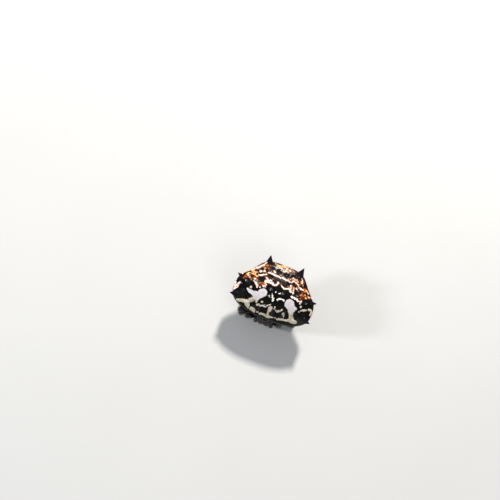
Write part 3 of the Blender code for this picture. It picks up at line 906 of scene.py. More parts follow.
    def ground(
        self, board: NodeBoard, rearwards: object, broad: object, middling: object, rough: object
    ) -> Socket:
        """Colours the bare shield: black at the crown, olive-black in front as a painted reflection,
        black-brown behind as partly painted sunlight, and a painted red-brown glow of sunlight near the pale
        marks behind the crown.

        Args:
            board: the nodes of the material.
            rearwards: 0 in front of the crown to 1 well behind it, where painted sunlight shows.
            broad: slow noise.
            middling: quicker noise.
            rough: how far noise moves an edge, in mm.

        Returns:
            The colour.
        """
        # Painted sunlight, partly the cuticle's own tone: brown patches behind the crown.
        patchy = board.times(rearwards, board.window(broad, 0.35, 0.62))
        # Painted reflection: the shield's front turns olive-black, with a noisy edge.
        frontwards = board.window(board.plus(board.axis("Y"), rough), -2.6, -1.3, 1.0, 0.0)
        colour = board.mix(frontwards, self.crown_black, self.front_black)
        colour = board.mix(patchy, colour, self.rear_black)
        # Painted glow: sunlight glowing red-brown through the shield near the pale marks, behind the crown
        # only.
        glow = board.window(board.plus(board.attribute("near_pale"), rough), -0.24, -0.02)
        where = board.times(rearwards, board.window(middling, 0.40, 0.58))
        return board.mix(board.times(glow, where), colour, self.ember)


@dataclass(frozen=True)
class CuticleFinish:
    """Glossy black cuticle of the legs and head, with thin brown skin between the segments."""

    deep: Place = (0.0036, 0.0036, 0.0040)
    warm: Place = (0.0100, 0.0062, 0.0046)
    membrane: Place = (0.034, 0.015, 0.009)

    def make(self) -> bpy.types.Material:
        """Lays out the nodes.

        Returns:
            The material.
        """
        board = NodeBoard("dark cuticle")
        fine = board.noise(14.0, 4.0, 0.6)
        broad = board.noise(1.8, 3.0)
        colour = board.mix(board.window(broad, 0.38, 0.66), self.deep, self.warm)
        bands = board.plus(board.attribute("joint"), board.times(fine, 0.5))
        colour = board.mix(board.window(bands, 1.0, 1.45), colour, self.membrane)
        roughness = board.window(fine, 0.3, 0.7, 0.16, 0.30)
        normal = board.relief(board.cells(22.0), 0.008)
        normal = board.relief(fine, 0.010, normal)
        normal = board.relief(board.noise(4.5, 2.0), 0.030, normal)
        return board.finish(
            colour, roughness, normal, specular_ior_level=0.22, coat_weight=0.42, coat_roughness=0.05
        )


@dataclass(frozen=True)
class LensFinish:
    """Black, wet-looking lens of an eye, with a faint amber depth."""

    deep: Place = (0.0012, 0.0012, 0.0016)
    amber: Place = (0.010, 0.0042, 0.0018)

    def make(self) -> bpy.types.Material:
        """Lays out the nodes.

        Returns:
            The material.
        """
        board = NodeBoard("eye lens")
        cloud = board.noise(10.0, 2.0)
        colour = board.mix(board.window(cloud, 0.45, 0.75), self.deep, self.amber)
        roughness = board.window(cloud, 0.3, 0.7, 0.04, 0.08)
        normal = board.relief(cloud, 0.001)
        return board.finish(colour, roughness, normal, coat_weight=0.5, coat_roughness=0.02)


@dataclass(frozen=True)
class HornFinish:
    """Hard red-black horn of fangs and claws."""

    dark: Place = (0.009, 0.004, 0.003)
    red: Place = (0.075, 0.018, 0.008)

    def make(self) -> bpy.types.Material:
        """Lays out the nodes.

        Returns:
            The material.
        """
        board = NodeBoard("claw horn")
        streaks = board.noise(22.0, 3.0)
        colour = board.mix(board.window(streaks, 0.4, 0.7), self.dark, self.red)
        roughness = board.window(streaks, 0.3, 0.7, 0.14, 0.28)
        return board.finish(colour, roughness, board.relief(streaks, 0.003), coat_weight=0.5)


@dataclass(frozen=True)
class BristleFinish:
    """Fine hairs, dark at most places and grey or tawny at some; fewer are pale where rare is higher."""

    name: str = "fine bristles"
    dark: Place = (0.010, 0.008, 0.007)
    pale: Place = (0.34, 0.29, 0.23)
    rare: float = 0.94

    def make(self) -> bpy.types.Material:
        """Lays out the nodes.

        Returns:
            The material.
        """
        board = NodeBoard(self.name)
        patches = board.noise(3.2, 3.0)
        each = board.noise(30.0, 1.0)
        drawn = board.plus(patches, board.times(each, 0.8))
        share = board.window(drawn, self.rare, self.rare + 0.18)
        colour = board.mix(share, self.dark, self.pale)
        roughness = board.window(each, 0.3, 0.7, 0.36, 0.55)
        return board.finish(colour, roughness, board.relief(each, 0.002), specular_ior_level=0.25)


@dataclass(frozen=True)
class FloorFinish:
    """Plain pale studio floor."""

    light: Place = (0.66, 0.655, 0.64)
    shade: Place = (0.62, 0.615, 0.60)

    def make(self) -> bpy.types.Material:
        """Lays out the nodes.

        Returns:
            The material.
        """
        board = NodeBoard("pale floor")
        cloud = board.noise(0.05, 2.0)
        colour = board.mix(cloud, self.light, self.shade)
        return board.finish(colour, 0.7, board.relief(board.noise(2.0, 2.0), 0.004))


@dataclass(frozen=True)
class Sigillum:
    """One sunk round mark of the shield's left half, with its mirror image.

    Args:
        x: place across.
        y: place along.
        radius: its radius.
    """

    x: float
    y: float
    radius: float


@dataclass(frozen=True)
class Spine:
    """One of the shield's thorns: its root, its tip and its largest radius."""

    root: Place
    tip: Place
    radius: float


@dataclass(frozen=True)
class Spot:
    """One ring of pale spots round the belly: its height, how far out it lies, their size and count."""

    height: float
    out: float
    radius: float
    count: int


@dataclass
class Shield:
    """The hard abdomen: a low dome with a rounded rim, six thorns and the folded cone of the belly.

    Args:
        outline: half of the outline seen from above, on the spider's left.
        spread: below 1 the dome's rings lie wider apart near the crown.
        margin: height of the dome's edge level with the crown, with margin_slope more for each mm behind.
        belly_edge: share of the outline at which the belly begins under the rim.
        tip_share: share of the outline at the tip of the belly, at tip_height over the floor.
        waist: share of the outline at which the belly's flank is about halfway down.
        spot_base: height at which a ring of belly spots is centred on the belly's tip.
        spot_rise: rise from there to where a ring is centred under the crown.
        painted_rim: how far down the rim the marks go.
        shake: how far the strokes of the marks are shaken off their straight way.
        shake_waves: waves of that, across and along, with their phase.
        ink_reach: how strongly the plain black bands push back the painted glow and the specks round the
            marks.
        spine_foot: shares of a thorn's radius between which it fades into the dome.
        spine_black: shares of a thorn's length between which it turns all black.
        seen_tilt: how much of a mm along and of a mm upright the camera sees.
        voxel: size of the faces.
    """

    outline: tuple[tuple[float, float], ...] = (
        (0.0, -2.92),
        (1.95, -2.84),
        (3.62, -2.36),
        (4.66, -1.50),
        (4.86, -0.30),
        (4.62, 0.80),
        (3.52, 2.15),
        (2.38, 3.50),
        (1.10, 3.88),
        (0.0, 3.88),
    )
    around: int = 300
    dome_rows: int = 78
    rim_rows: int = 16
    belly_rows: int = 60
    spread: float = 0.85
    crown: float = 5.0
    margin: float = 4.06
    margin_slope: float = 0.085
    dome_power: float = 2.2
    rim_bulge: float = 0.03
    rim_depth: float = 0.72
    furrow_depth: float = 0.007
    belly_edge: float = 0.95
    belly_spread: float = 1.15
    tip_height: float = 1.12
    tip_share: float = 0.12
    tip_y: float = 0.90
    waist: float = 0.40
    cone_power: float = 2.3
    cone_radius: float = 3.6
    cone_roundness: float = 0.8
    folds: int = 34
    fold_depth: float = 0.045
    furrows_per_fold: float = 1.4
    furrow_arc: tuple[float, float] = (0.7, 2.2)
    sigillum_depth: float = 0.12
    sigillum_softness: float = 1.3
    sigilla: dict[str, Sigillum] = field(
        default_factory=lambda: {
            "front_inner": Sigillum(0.82, -2.30, 0.56),
            "front_middle": Sigillum(2.05, -2.10, 0.50),
            "front_outer": Sigillum(3.05, -1.80, 0.42),
            "cheek": Sigillum(3.95, -1.15, 0.56),
            "side": Sigillum(3.62, 0.50, 0.44),
            "rear_outer": Sigillum(2.25, 0.90, 0.50),
            "rear_side": Sigillum(2.58, 1.94, 0.42),
            "rear_middle": Sigillum(1.25, 1.72, 0.44),
            "rear_row_outer": Sigillum(1.42, 2.78, 0.42),
            "rear_row_inner": Sigillum(0.48, 2.72, 0.42),
            "median_front": Sigillum(0.50, -0.55, 0.36),
            "median_rear": Sigillum(0.72, 0.45, 0.40),
        }
    )
    spines: dict[str, Spine] = field(
        default_factory=lambda: {
            "anterolateral": Spine((3.80, -1.34, 3.56), (5.17, -1.68, 3.84), 0.45),
            "mediolateral": Spine((3.70, 0.60, 3.74), (5.12, 1.00, 4.06), 0.43),
            "posterior": Spine((1.78, 2.62, 3.80), (2.16, 4.42, 4.78), 0.62),
        }
    )
    spine_shape: tuple[tuple[float, float], ...] = (
        (0.0, 0.35),
        (0.20, 0.75),
        (0.40, 1.0),
        (0.54, 0.77),
        (0.70, 0.49),
        (0.85, 0.25),
        (0.98, 0.07),
    )
    spine_steps: int = 5
    spine_sides: int = 28
    spine_foot: tuple[float, float] = (0.85, 1.25)
    spine_black: tuple[float, float] = (0.36, 0.52)
    painted_rim: float = 0.62
    shake: float = 0.018
    shake_waves: tuple[Place, ...] = ((2.3, 1.1, 0.4), (-1.7, 2.9, 1.9), (4.1, -3.3, 3.1), (5.2, 4.4, 5.0))
    ink_reach: float = 4.0
    spot_base: float = 1.1
    spot_rise: float = 2.4
    belly_spots: dict[Paint, tuple[Spot, ...]] = field(
        default_factory=lambda: {
            Paint.YOLK: (Spot(2.72, 2.55, 0.23, 7), Spot(1.95, 1.62, 0.17, 6)),
            Paint.CREAM: (Spot(3.18, 3.45, 0.15, 9),),
        }
    )
    collar: tuple[float, Place] = (0.90, (0.37, 0.37, 0.15))
    collar_root: tuple[float, Place] = (1.10, (0.30, 0.30, 0.22))
    lobes: int = 5
    lobe_ring: float = 0.17
    lobe_heights: tuple[float, ...] = (0.84, 0.76, 0.68, 0.60, 0.55)
    lobe_radii: tuple[float, ...] = (0.14, 0.155, 0.15, 0.11, 0.06)
    seen_tilt: tuple[float, float] = (0.92, 0.39)
    sight_rounds: int = 14
    voxel: float = 0.045

    @cached_property
    def edge_points(self) -> np.ndarray:
        """The outline seen from above, as even points round it.

        Returns:
            One row of x and y for each point.
        """
        left = list(self.outline)
        right = [(-x, y) for x, y in left[-2:0:-1]]
        line = spline(left + right, 40, closed=True)
        closed = np.vstack([line, line[:1]])
        reach = np.concatenate([[0.0], np.cumsum(np.linalg.norm(np.diff(closed, axis=0), axis=1))])
        steps = np.linspace(0.0, reach[-1], self.around, endpoint=False)
        return np.stack([np.interp(steps, reach, closed[:, axis]) for axis in (0, 1)], axis=1)

    def margin_height(self, y: np.ndarray) -> np.ndarray:
        """Height of the shield's upper edge at a point of its outline."""
        return self.margin + self.margin_slope * y

    def sink(self, x: np.ndarray, y: np.ndarray) -> np.ndarray:
        """How deep the sigilla lie at a place, from 0 to 1.

        Args:
            x: places across.
            y: places along.

        Returns:
            The depth at each place.
        """
        deepest = np.zeros_like(x)
        for mark in self.sigilla.values():
            away = np.hypot(np.abs(x) - mark.x, y - mark.y) / mark.radius
            deepest = np.maximum(deepest, np.clip(1.0 - away**2, 0.0, 1.0) ** self.sigillum_softness)
        return deepest

    def edge_reach(self, x: np.ndarray, y: np.ndarray) -> np.ndarray:
        """Distance from the crown to the outline in the direction of a place.

        Args:
            x: places across.
            y: places along.

        Returns:
            The distance for each place.
        """
        edge = self.edge_points
        turns = np.arctan2(edge[:, 1], edge[:, 0])
        order = np.argsort(turns)
        return np.interp(np.arctan2(y, x), turns[order], np.hypot(*edge[order].T), period=2.0 * math.pi)

    def height(self, x: np.ndarray, y: np.ndarray) -> np.ndarray:
        """Height of the dome at a place, and of the rim's slope outside it.

        Args:
            x: places across.
            y: places along.

        Returns:
            The height at each place.
        """
        reach = self.edge_reach(x, y)
        share = np.hypot(x, y) / reach
        edge = self.margin_height(y / np.maximum(share, 1e-6))
        edge = np.where(share < 1e-6, self.margin, edge)
        dome = edge + (self.crown - edge) * (1.0 - np.minimum(share, 1.0) ** self.dome_power)
        return dome - np.maximum(share - 1.0, 0.0) * reach

    def on_shield(self, across: float, along: float) -> tuple[float, float]:
        """Finds the place on the shield that the camera sees at a distance from the crown.

        Args:
            across: distance to the spider's left, in mm as seen.
            along: distance to its rear, in mm as seen.

        Returns:
            The place across and along the shield itself.
        """
        flat, steep = self.seen_tilt
        y = along / flat
        for _ in range(self.sight_rounds):
            rise = float(self.height(np.array([across]), np.array([y]))[0]) - self.crown
            y = 0.5 * y + 0.5 * (along - steep * rise) / flat
        return across, y

    def rings(self) -> np.ndarray:
        """All rings of the body, from the crown over the rim to the tip of the belly cone.

        Returns:
            Rows by sides by three places.
        """
        edge = self.edge_points
        high = self.margin_height(edge[:, 1])
        rings = []
        for step in range(1, self.dome_rows + 1):
            share = (step / self.dome_rows) ** self.spread
            flat = share * edge
            top = high + (self.crown - high) * (1.0 - share**self.dome_power)
            top = top - self.sigillum_depth * self.sink(flat[:, 0], flat[:, 1])
            rings.append(np.column_stack([flat, top]))
        for step in range(1, self.rim_rows + 1):
            turn = math.pi * step / (self.rim_rows + 1)
            out = 1.0 + self.rim_bulge * math.sin(turn)
            drop = 0.5 * self.rim_depth * (1.0 - math.cos(turn))
            furrows = 1.0 - self.furrow_depth * math.sin(turn) * self.furrows(edge, turn)
            rings.append(np.column_stack([out * edge * furrows[:, None], high - drop]))
        rings.extend(self.belly_rings(edge, high))
        return np.array(rings)

    def furrows(self, edge: np.ndarray, turn: float) -> np.ndarray:
        """Shallow upright furrows of the rim, which go on in the belly's folds.

        Args:
            edge: points of the outline.
            turn: way down the rim, from 0 at its top to pi.

        Returns:
            The depth at each point, from 0 to 1.
        """
        way = np.arctan2(edge[:, 1], edge[:, 0])
        drift = self.furrows_per_fold * self.folds * way + 2.6 * np.sin(3.0 * way) + 1.7 * np.sin(7.0 * way)
        uneven = 0.55 + 0.45 * np.sin(11.0 * way + 2.0 * np.sin(4.0 * way))
        begun = smoothstep(np.full(len(edge), turn), *self.furrow_arc)
        return np.clip(0.4 + 0.8 * np.cos(drift + turn), 0.0, 1.0) * uneven * begun

    def belly_rings(self, edge: np.ndarray, high: np.ndarray) -> list[np.ndarray]:
        """Rings of the underside, folded like a drawn curtain.

        Args:
            edge: points of the outline.
            high: height of the upper edge at each.

        Returns:
            The rings, from the rim to the tip.
        """
        turns = np.arctan2(edge[:, 1], edge[:, 0])
        folds = np.cos(self.folds * turns + 0.6 * np.sin(3.0 * turns))
        round_edge = edge / np.linalg.norm(edge, axis=1)[:, None] * self.cone_radius
        lowest = self.cone_curve(self.tip_share)
        rings = []
        for step in range(self.belly_rows + 1):
            inward = (1.0 - step / self.belly_rows) ** self.belly_spread
            share = self.tip_share + (self.belly_edge - self.tip_share) * inward
            roundness = (1.0 - inward) ** self.cone_roundness
            rise = (self.cone_curve(share) - lowest) / (self.cone_curve(self.belly_edge) - lowest)
            flat = share * (edge + (round_edge - edge) * roundness)
            flat = flat + np.array((0.0, self.tip_y * (1.0 - inward)))
            depth = self.fold_depth * math.sin(math.pi * min(1.0, inward * 1.05)) ** 0.7
            flat = flat * (1.0 - depth * (0.5 + 0.5 * folds[:, None]) / max(share * self.cone_radius, 0.6))
            z = self.tip_height + (high - self.rim_depth - self.tip_height) * rise
            rings.append(np.column_stack([flat, z]))
        return rings

    def cone_curve(self, share: float) -> float:
        """The belly cone's S-shaped flank."""
        return share**self.cone_power / (share**self.cone_power + self.waist**self.cone_power)

    def thorn(self, name: str, spine: Spine, side: Side) -> Piece:
        """One thorn, hollow-sided, with its root inside the dome.

        Args:
            name: name of the piece.
            spine: its form.
            side: its side.

        Returns:
            The closed piece.
        """
        shape = spline(self.spine_shape, self.spine_steps)
        root = np.array(side.mirror(spine.root))
        tip = np.array(side.mirror(spine.tip))
        path = root + shape[:, :1] * (tip - root)
        return swept(name, path, spine.radius * shape[:, 1], self.spine_sides)

    def on_spines(self, points: np.ndarray) -> np.ndarray:
        """How far a place lies on a thorn, from 0 at its foot to 1.

        Args:
            points: the places.

        Returns:
            The share at each.
        """
        inner, outer = self.spine_foot
        most = np.zeros(len(points))
        for spine in self.spines.values():
            for side in Side:
                root = np.array(side.mirror(spine.root))
                way = np.array(side.mirror(spine.tip)) - root
                share = np.clip((points - root) @ way / (way @ way), 0.0, 1.2)
                away = np.linalg.norm(points - root - share[:, None] * way, axis=1)
                near = 1.0 - smoothstep(away, spine.radius * inner, spine.radius * outer)
                most = np.maximum(most, near * smoothstep(share, *self.spine_black))
        return most

    def laid_flat(self, points: np.ndarray) -> np.ndarray:
        """Places of the dome and rim on one flat plan, where the rim goes on outwards.

        Args:
            points: the places.

        Returns:
            One row of x and y for each.
        """
        x, y, z = points.T
        reach = self.edge_reach(x, y)
        share = np.maximum(np.hypot(x, y) / reach, 1e-6)
        edge = points[:, :2] / share[:, None]
        drop = self.margin_height(edge[:, 1]) - z
        on_rim = (share > 0.93) & (drop > 0.0)
        out = np.where(on_rim, np.maximum(share, 1.0) + drop / reach, share)
        return edge * out[:, None]

    def paint(self, obj: Piece) -> None:
        """Stores the marks, sigilla and thorns as numbers of the mesh, in mm inside each mark.

        Args:
            obj: the shield.
        """
        points = read_points(obj)
        flat = self.shaken(self.laid_flat(points))
        upper = points[:, 2] > self.margin_height(points[:, 1]) - self.painted_rim
        spine = self.on_spines(points)
        fields = {
            paint: np.maximum.reduce([self.inside_of(dabs, flat) for dabs in SHIELD_MARKS[paint].values()])
            for paint in Paint
        }
        for paint, rings in self.belly_spots.items():
            fields[paint] = np.where(upper, fields[paint], self.inside_spots(points, rings))
        for paint, values in fields.items():
            shown = values if paint in self.belly_spots else np.where(upper, values, OUTSIDE)
            if paint is not Paint.INK:
                shown = np.minimum(shown, -fields[Paint.INK])
                shown = shown if paint is Paint.BLUSH else np.where(spine > 0.5, OUTSIDE, shown)
            write_attribute(obj, paint.value, np.clip(shown, OUTSIDE, 1.0))
        near_pale = np.maximum.reduce([fields[paint] for paint in (Paint.WHITE, Paint.BLUSH, Paint.YOLK)])
        for name, near in (("near_pale", near_pale), ("near_rust", fields[Paint.RUST])):
            near = np.clip(np.minimum(near, -self.ink_reach * fields[Paint.INK]), OUTSIDE, 1.0)
            write_attribute(obj, name, np.where(upper & (spine < 0.5), near, OUTSIDE))
        write_attribute(obj, "sigillum", np.where(upper, self.sink(points[:, 0], points[:, 1]), 0.0))
        write_attribute(obj, "spine", spine)

    def shaken(self, flat: np.ndarray) -> np.ndarray:
        """Places moved a little to and fro, so that no stroke of a mark is quite straight.

        Args:
            flat: places on the flat plan.

        Returns:
            The moved places.
        """
        waves = np.array(self.shake_waves)
        phase = flat @ waves[:, :2].T + waves[:, 2]
        return flat + self.shake * np.stack([np.sin(phase).sum(1), np.cos(phase).sum(1)], axis=1)

    def inside_of(self, marked: Dabs, flat: np.ndarray) -> np.ndarray:
        """How far places lie inside a mark, in mm; outside it is below zero.

        Args:
            marked: the dabs of the mark, as the camera sees them.
            flat: places on the flat plan.

        Returns:
            The distance at each place.
        """
        dabs = [(*self.on_shield(across, along), half) for across, along, half in marked]
        if len(dabs) == 1:
            dabs = dabs * 2
        deepest = np.full(len(flat), OUTSIDE)
        for (x0, y0, r0), (x1, y1, r1) in zip(dabs, dabs[1:]):
            start = np.array((x0, y0))
            way = np.array((x1, y1)) - start
            length = max(float(way @ way), 1e-9)
            share = np.clip((flat - start) @ way / length, 0.0, 1.0)
            away = np.linalg.norm(flat - start - share[:, None] * way, axis=1)
            deepest = np.maximum(deepest, r0 + (r1 - r0) * share - away)
        return deepest

    def inside_spots(self, points: np.ndarray, rings: Iterable[Spot]) -> np.ndarray:
        """How far places lie inside the pale spots of the belly, in mm.

        Args:
            points: the places.
            rings: the rings of spots.

        Returns:
            The distance at each place.
        """
        deepest = np.full(len(points), OUTSIDE)
        for ring in rings:
            middle = self.tip_y * (1.0 - (ring.height - self.spot_base) / self.spot_rise)
            for index in range(ring.count):
                turn = math.pi * ((index + 0.5) / ring.count - 0.5)
                for side in Side:
                    x = side.value * ring.out * math.cos(turn)
                    y = middle + ring.out * 0.82 * math.sin(turn)
                    size = ring.radius * (0.72 + 0.34 * math.sin(5.1 * index + ring.height))
                    away = np.hypot(points[:, 0] - x, points[:, 1] - y)
                    deepest = np.maximum(deepest, size - away)
        return deepest

    def spinnerets(self) -> list[Piece]:
        """A low collar with a ring of short lobes under the tip of the belly cone.

        Returns:
            The closed pieces.
        """
        centre = np.array((0.0, self.tip_y, 0.0))
        pieces = [
            ellipsoid("collar", centre + (0.0, 0.0, height), radii)
            for height, radii in (self.collar, self.collar_root)
        ]
        for index in range(self.lobes):
            turn = 2.0 * math.pi * (index + 0.25) / self.lobes
            foot = centre + (self.lobe_ring * math.cos(turn), self.lobe_ring * math.sin(turn), 0.0)
            path = np.array([(foot[0], foot[1], height) for height in self.lobe_heights])
            pieces.append(swept(f"lobe_{index}", path, self.lobe_radii, 20))
        return pieces

    def build(self) -> None:
        """Models, paints and dresses the shield."""
        rings = self.rings()
        crown = (0.0, 0.0, self.crown)
        tip = (0.0, self.tip_y, self.tip_height)
        pieces = [lofted("shield", crown, rings, tip)]
        for name, spine in self.spines.items():
            for side in Side:
                pieces.append(self.thorn(f"{name}_{side.word}", spine, side))
        pieces.extend(self.spinnerets())
        obj = fused("shield", pieces, self.voxel, 1)
        self.paint(obj)
        settle(obj, ShieldFinish().make(), ("abdomen", "spinnerets"))


@dataclass(frozen=True)
class Limb:
    """One stretch of a limb: its ends, its radius in the middle and at both joints."""

    start: Place
    end: Place
    radius: float
    start_radius: float
    end_radius: float

    def radius_at(self, share: float) -> float:
        """Rough radius at a share of the way along.

        Args:
            share: share of the way, from 0 to 1.

        Returns:
            The radius in mm.
        """
        swell = math.sin(math.pi * min(max(share, 0.0), 1.0)) ** 0.7
        joint = self.start_radius + (self.end_radius - self.start_radius) * share
        return joint + (self.radius - joint) * swell


@dataclass
class Skin:
    """The one skin of head, thorax, jaws, palps and legs.

    Args:
        carapace: place along, half width and height of the top of each of its rings.
        fovea: place along, depth and radius of the pit in the thorax.
        groove_start: place along of the grooves between head and thorax at the midline.
        sternum_plate: centre and radii of the plate between the hips.
        labium: centre and radii of the lower lip.
        legs: hip, femur's end, knee, ankle and foot of each left leg.
        swing: degrees by which a leg is turned about its hip.
        drawn_in: joints of single legs that lie elsewhere than in their pair.
        spindle: shares of a stretch's length and of its swell, which give its form.
        sternum: place along and height towards which the hips' roots reach.
        root_share: how far they reach towards it.
        joint_glow: distances from a joint between which its brown skin fades.
        limbs: stretches of each limb, filled by build.
        joints: joints of all legs, filled by build.
    """

    carapace: tuple[Place, ...] = (
        (-0.98, 0.55, 2.14),
        (-1.26, 1.12, 2.34),
        (-1.65, 1.40, 2.44),
        (-2.04, 1.30, 2.60),
        (-2.42, 1.10, 2.82),
        (-2.76, 0.98, 2.87),
        (-3.02, 0.86, 2.66),
        (-3.16, 0.66, 2.28),
    )
    carapace_edge: float = 2.02
    carapace_under: float = 0.16
    fovea: Place = (-1.76, 0.12, 0.34)
    groove_start: float = -1.86
    groove_slant: float = 0.40
    groove_depth: float = 0.055
    groove_width: float = 0.11
    sternum_plate: tuple[Place, Place] = ((0.0, -1.54, 1.66), (0.84, 0.90, 0.54))
    labium: tuple[Place, Place] = ((0.0, -2.10, 1.46), (0.44, 0.30, 0.26))
    waist: tuple[Place, ...] = (
        (0.0, -1.40, 1.90),
        (0.0, -1.10, 1.885),
        (0.0, -0.85, 1.88),
        (0.0, -0.62, 1.90),
    )
    waist_radii: tuple[float, ...] = (0.27, 0.24, 0.24, 0.26)
    chelicera: tuple[tuple[Place, float], ...] = (
        ((0.34, -2.66, 1.98), 0.20),
        ((0.36, -2.78, 1.58), 0.25),
        ((0.37, -2.74, 1.28), 0.28),
        ((0.35, -2.64, 0.92), 0.21),
        ((0.27, -2.61, 0.78), 0.12),
    )
    palp: tuple[tuple[Place, float], ...] = (
        ((0.70, -2.48, 1.66), 0.18),
        ((0.96, -2.85, 1.60), 0.22),
        ((1.01, -2.83, 1.18), 0.23),
        ((0.95, -2.66, 0.80), 0.22),
        ((0.86, -2.48, 0.48), 0.20),
        ((0.80, -2.34, 0.34), 0.12),
    )
    legs: dict[int, tuple[Place, ...]] = field(
        default_factory=lambda: {
            1: (
                (1.10, -2.20, 1.46),
                (1.54, -2.52, 1.50),
                (2.22, -3.12, 2.80),
                (2.08, -2.58, 0.98),
                (1.32, -1.46, 0.08),
            ),
            2: (
                (1.37, -1.76, 1.46),
                (1.90, -1.88, 1.50),
                (3.28, -2.62, 2.66),
                (3.12, -1.68, 0.98),
                (2.42, -0.50, 0.08),
            ),
            3: (
                (1.37, -1.22, 1.46),
                (1.90, -1.08, 1.48),
                (2.96, -0.66, 2.06),
                (3.34, 0.06, 1.04),
                (3.16, 0.72, 0.08),
            ),
            4: (
                (1.10, -0.74, 1.46),
                (1.48, -0.40, 1.48),
                (2.58, 1.30, 1.96),
                (3.04, 2.58, 1.00),
                (1.98, 3.36, 0.08),
            ),
        }
    )
    swing: dict[tuple[Side, int], float] = field(default_factory=lambda: {(Side.LEFT, 2): 11.0})
    drawn_in: dict[tuple[Side, int], dict[int, Place]] = field(
        default_factory=lambda: {
            (Side.LEFT, 1): {1: (1.45, -2.46, 1.50), 2: (1.80, -2.74, 2.78), 3: (1.95, -2.40, 1.20)},
            (Side.RIGHT, 2): {3: (2.90, -2.58, 0.98), 4: (2.34, -1.44, 0.08)},
        }
    )
    radii: dict[str, float] = field(
        default_factory=lambda: {
            "coxa": 0.25,
            "femur": 0.35,
            "patella": 0.31,
            "tibia": 0.29,
            "metatarsus": 0.25,
            "tarsus": 0.22,
        }
    )
    spindle: tuple[tuple[float, float], ...] = (
        (-0.04, 0.0),
        (0.16, 0.75),
        (0.5, 1.0),
        (0.82, 0.7),
        (1.04, 0.0),
    )
    spindle_steps: int = 6
    limb_sides: int = 26
    carapace_sides: int = 64
    root_share: float = 0.42
    root_radius: float = 0.27
    joint_radius: float = 0.20
    tarsus_radius: float = 0.19
    foot_radius: float = 0.16
    joint_glow: tuple[float, float] = (0.20, 0.34)
    seat_sink: float = 0.62
    seat_width: float = 1.20
    patella_share: float = 0.38
    tarsus_share: float = 0.42
    sternum: tuple[float, float] = (-1.54, 1.72)
    voxel: float = 0.043
    limbs: dict[str, list[Limb]] = field(default_factory=dict)
    joints: list[Vector] = field(default_factory=list)

    def swung(self, number: int, side: Side) -> list[Vector]:
        """Joints of a leg on its side, turned about the upright line through its hip by its swing.

        Args:
            number: number of the leg from the front.
            side: its side.

        Returns:
            The joints, hip first.
        """
        turn = math.radians(self.swing.get((side, number), 0.0))
        hip = Vector(self.legs[number][0])
        moved = self.drawn_in.get((side, number), {})
        turned = []
        for index, place in enumerate(self.legs[number]):
            place = moved.get(index, place)
            away = Vector(place) - hip
            x = hip.x + away.x * math.cos(turn) - away.y * math.sin(turn)
            y = hip.y + away.x * math.sin(turn) + away.y * math.cos(turn)
            turned.append(side.mirror((x, y, place[2])))
        return turned

    def stretch(self, name: str, limb: Limb) -> Piece:
        """Models one spindle-shaped stretch of a limb.

        Args:
            name: name of the piece.
            limb: the stretch.

        Returns:
            The closed piece.
        """
        shape = spline(self.spindle, self.spindle_steps)
        start = np.array(limb.start)
        end = np.array(limb.end)
        path = start + shape[:, :1] * (end - start)
        joint = limb.start_radius + (limb.end_radius - limb.start_radius) * shape[:, 0]
        return swept(name, path, joint + (limb.radius - joint) * shape[:, 1], self.limb_sides)

    def leg_limbs(self, number: int, side: Side) -> list[Limb]:
        """The stretches of one leg from the hip to the foot.

        Args:
            number: number of the leg from the front.
            side: its side.

        Returns:
            The stretches.
        """
        hip, femur, knee, ankle, foot = self.swung(number, side)
        middle = Vector((0.0, self.sternum[0] + 0.5 * (hip.y - self.sternum[0]), self.sternum[1]))
        root = hip.lerp(middle, self.root_share)
        patella_end = knee.lerp(ankle, self.patella_share)
        tarsus_start = ankle.lerp(foot, 1.0 - self.tarsus_share)
        narrow = self.joint_radius
        stretches = (
            (root, femur, "coxa", self.root_radius, narrow),
            (femur, knee, "femur", narrow, narrow),
            (knee, patella_end, "patella", narrow, narrow),
            (patella_end, ankle, "tibia", narrow, narrow),
            (ankle, tarsus_start, "metatarsus", narrow, self.tarsus_radius),
            (tarsus_start, foot, "tarsus", self.tarsus_radius, self.foot_radius),
        )
        self.joints.extend((femur, knee, patella_end, ankle, tarsus_start))
        return [Limb(tuple(a), tuple(b), self.radii[part], c, d) for a, b, part, c, d in stretches]

    def chain(self, places: tuple[tuple[Place, float], ...], side: Side) -> list[Limb]:
        """The stretches of a jaw or palp.

        Args:
            places: joints and radii on the left.
            side: its side.

        Returns:
            The stretches.
        """
        limbs = []
        for (start, wide), (end, narrow) in zip(places, places[1:]):
            a = tuple(side.mirror(start))
            b = tuple(side.mirror(end))
            limbs.append(Limb(a, b, 1.06 * max(wide, narrow), 0.9 * wide, 0.9 * narrow))
        return limbs

    def head(self) -> list[Piece]:
        """The carapace with its raised head and fovea, the sternum, the labium and the waist.

        Returns:
            The closed pieces.
        """
        stations = spline(self.carapace, 9)
        turns = np.linspace(0.0, 2.0 * math.pi, self.carapace_sides, endpoint=False)
        up = np.sin(turns)
        across = np.sign(np.cos(turns)) * np.abs(np.cos(turns)) ** 0.85
        pit_y, pit_depth, pit_radius = self.fovea
        rings = []
        for y, half_width, top in stations:
            rise = np.where(up > 0.0, top - self.carapace_edge, self.carapace_under)
            z = self.carapace_edge + rise * np.sign(up) * np.abs(up) ** 0.9
            x = half_width * across
            away = np.hypot(x, y - pit_y) / pit_radius
            z = z - np.where(up > 0.0, pit_depth * np.clip(1.0 - away**2, 0.0, 1.0), 0.0)
            z = z - np.where(up > 0.0, self.groove(x, y), 0.0)
            rings.append(np.column_stack([x, np.full(self.carapace_sides, y), z]))
        rear = (0.0, stations[0][0] + 0.12, self.carapace_edge)
        front = (0.0, stations[-1][0] - 0.10, self.carapace_edge + 0.08)
        return [
            lofted("carapace", rear, np.array(rings), front),
            ellipsoid("sternum", *self.sternum_plate),
            ellipsoid("labium", *self.labium),
            swept("waist", np.array(self.waist), self.waist_radii, 28),
        ]

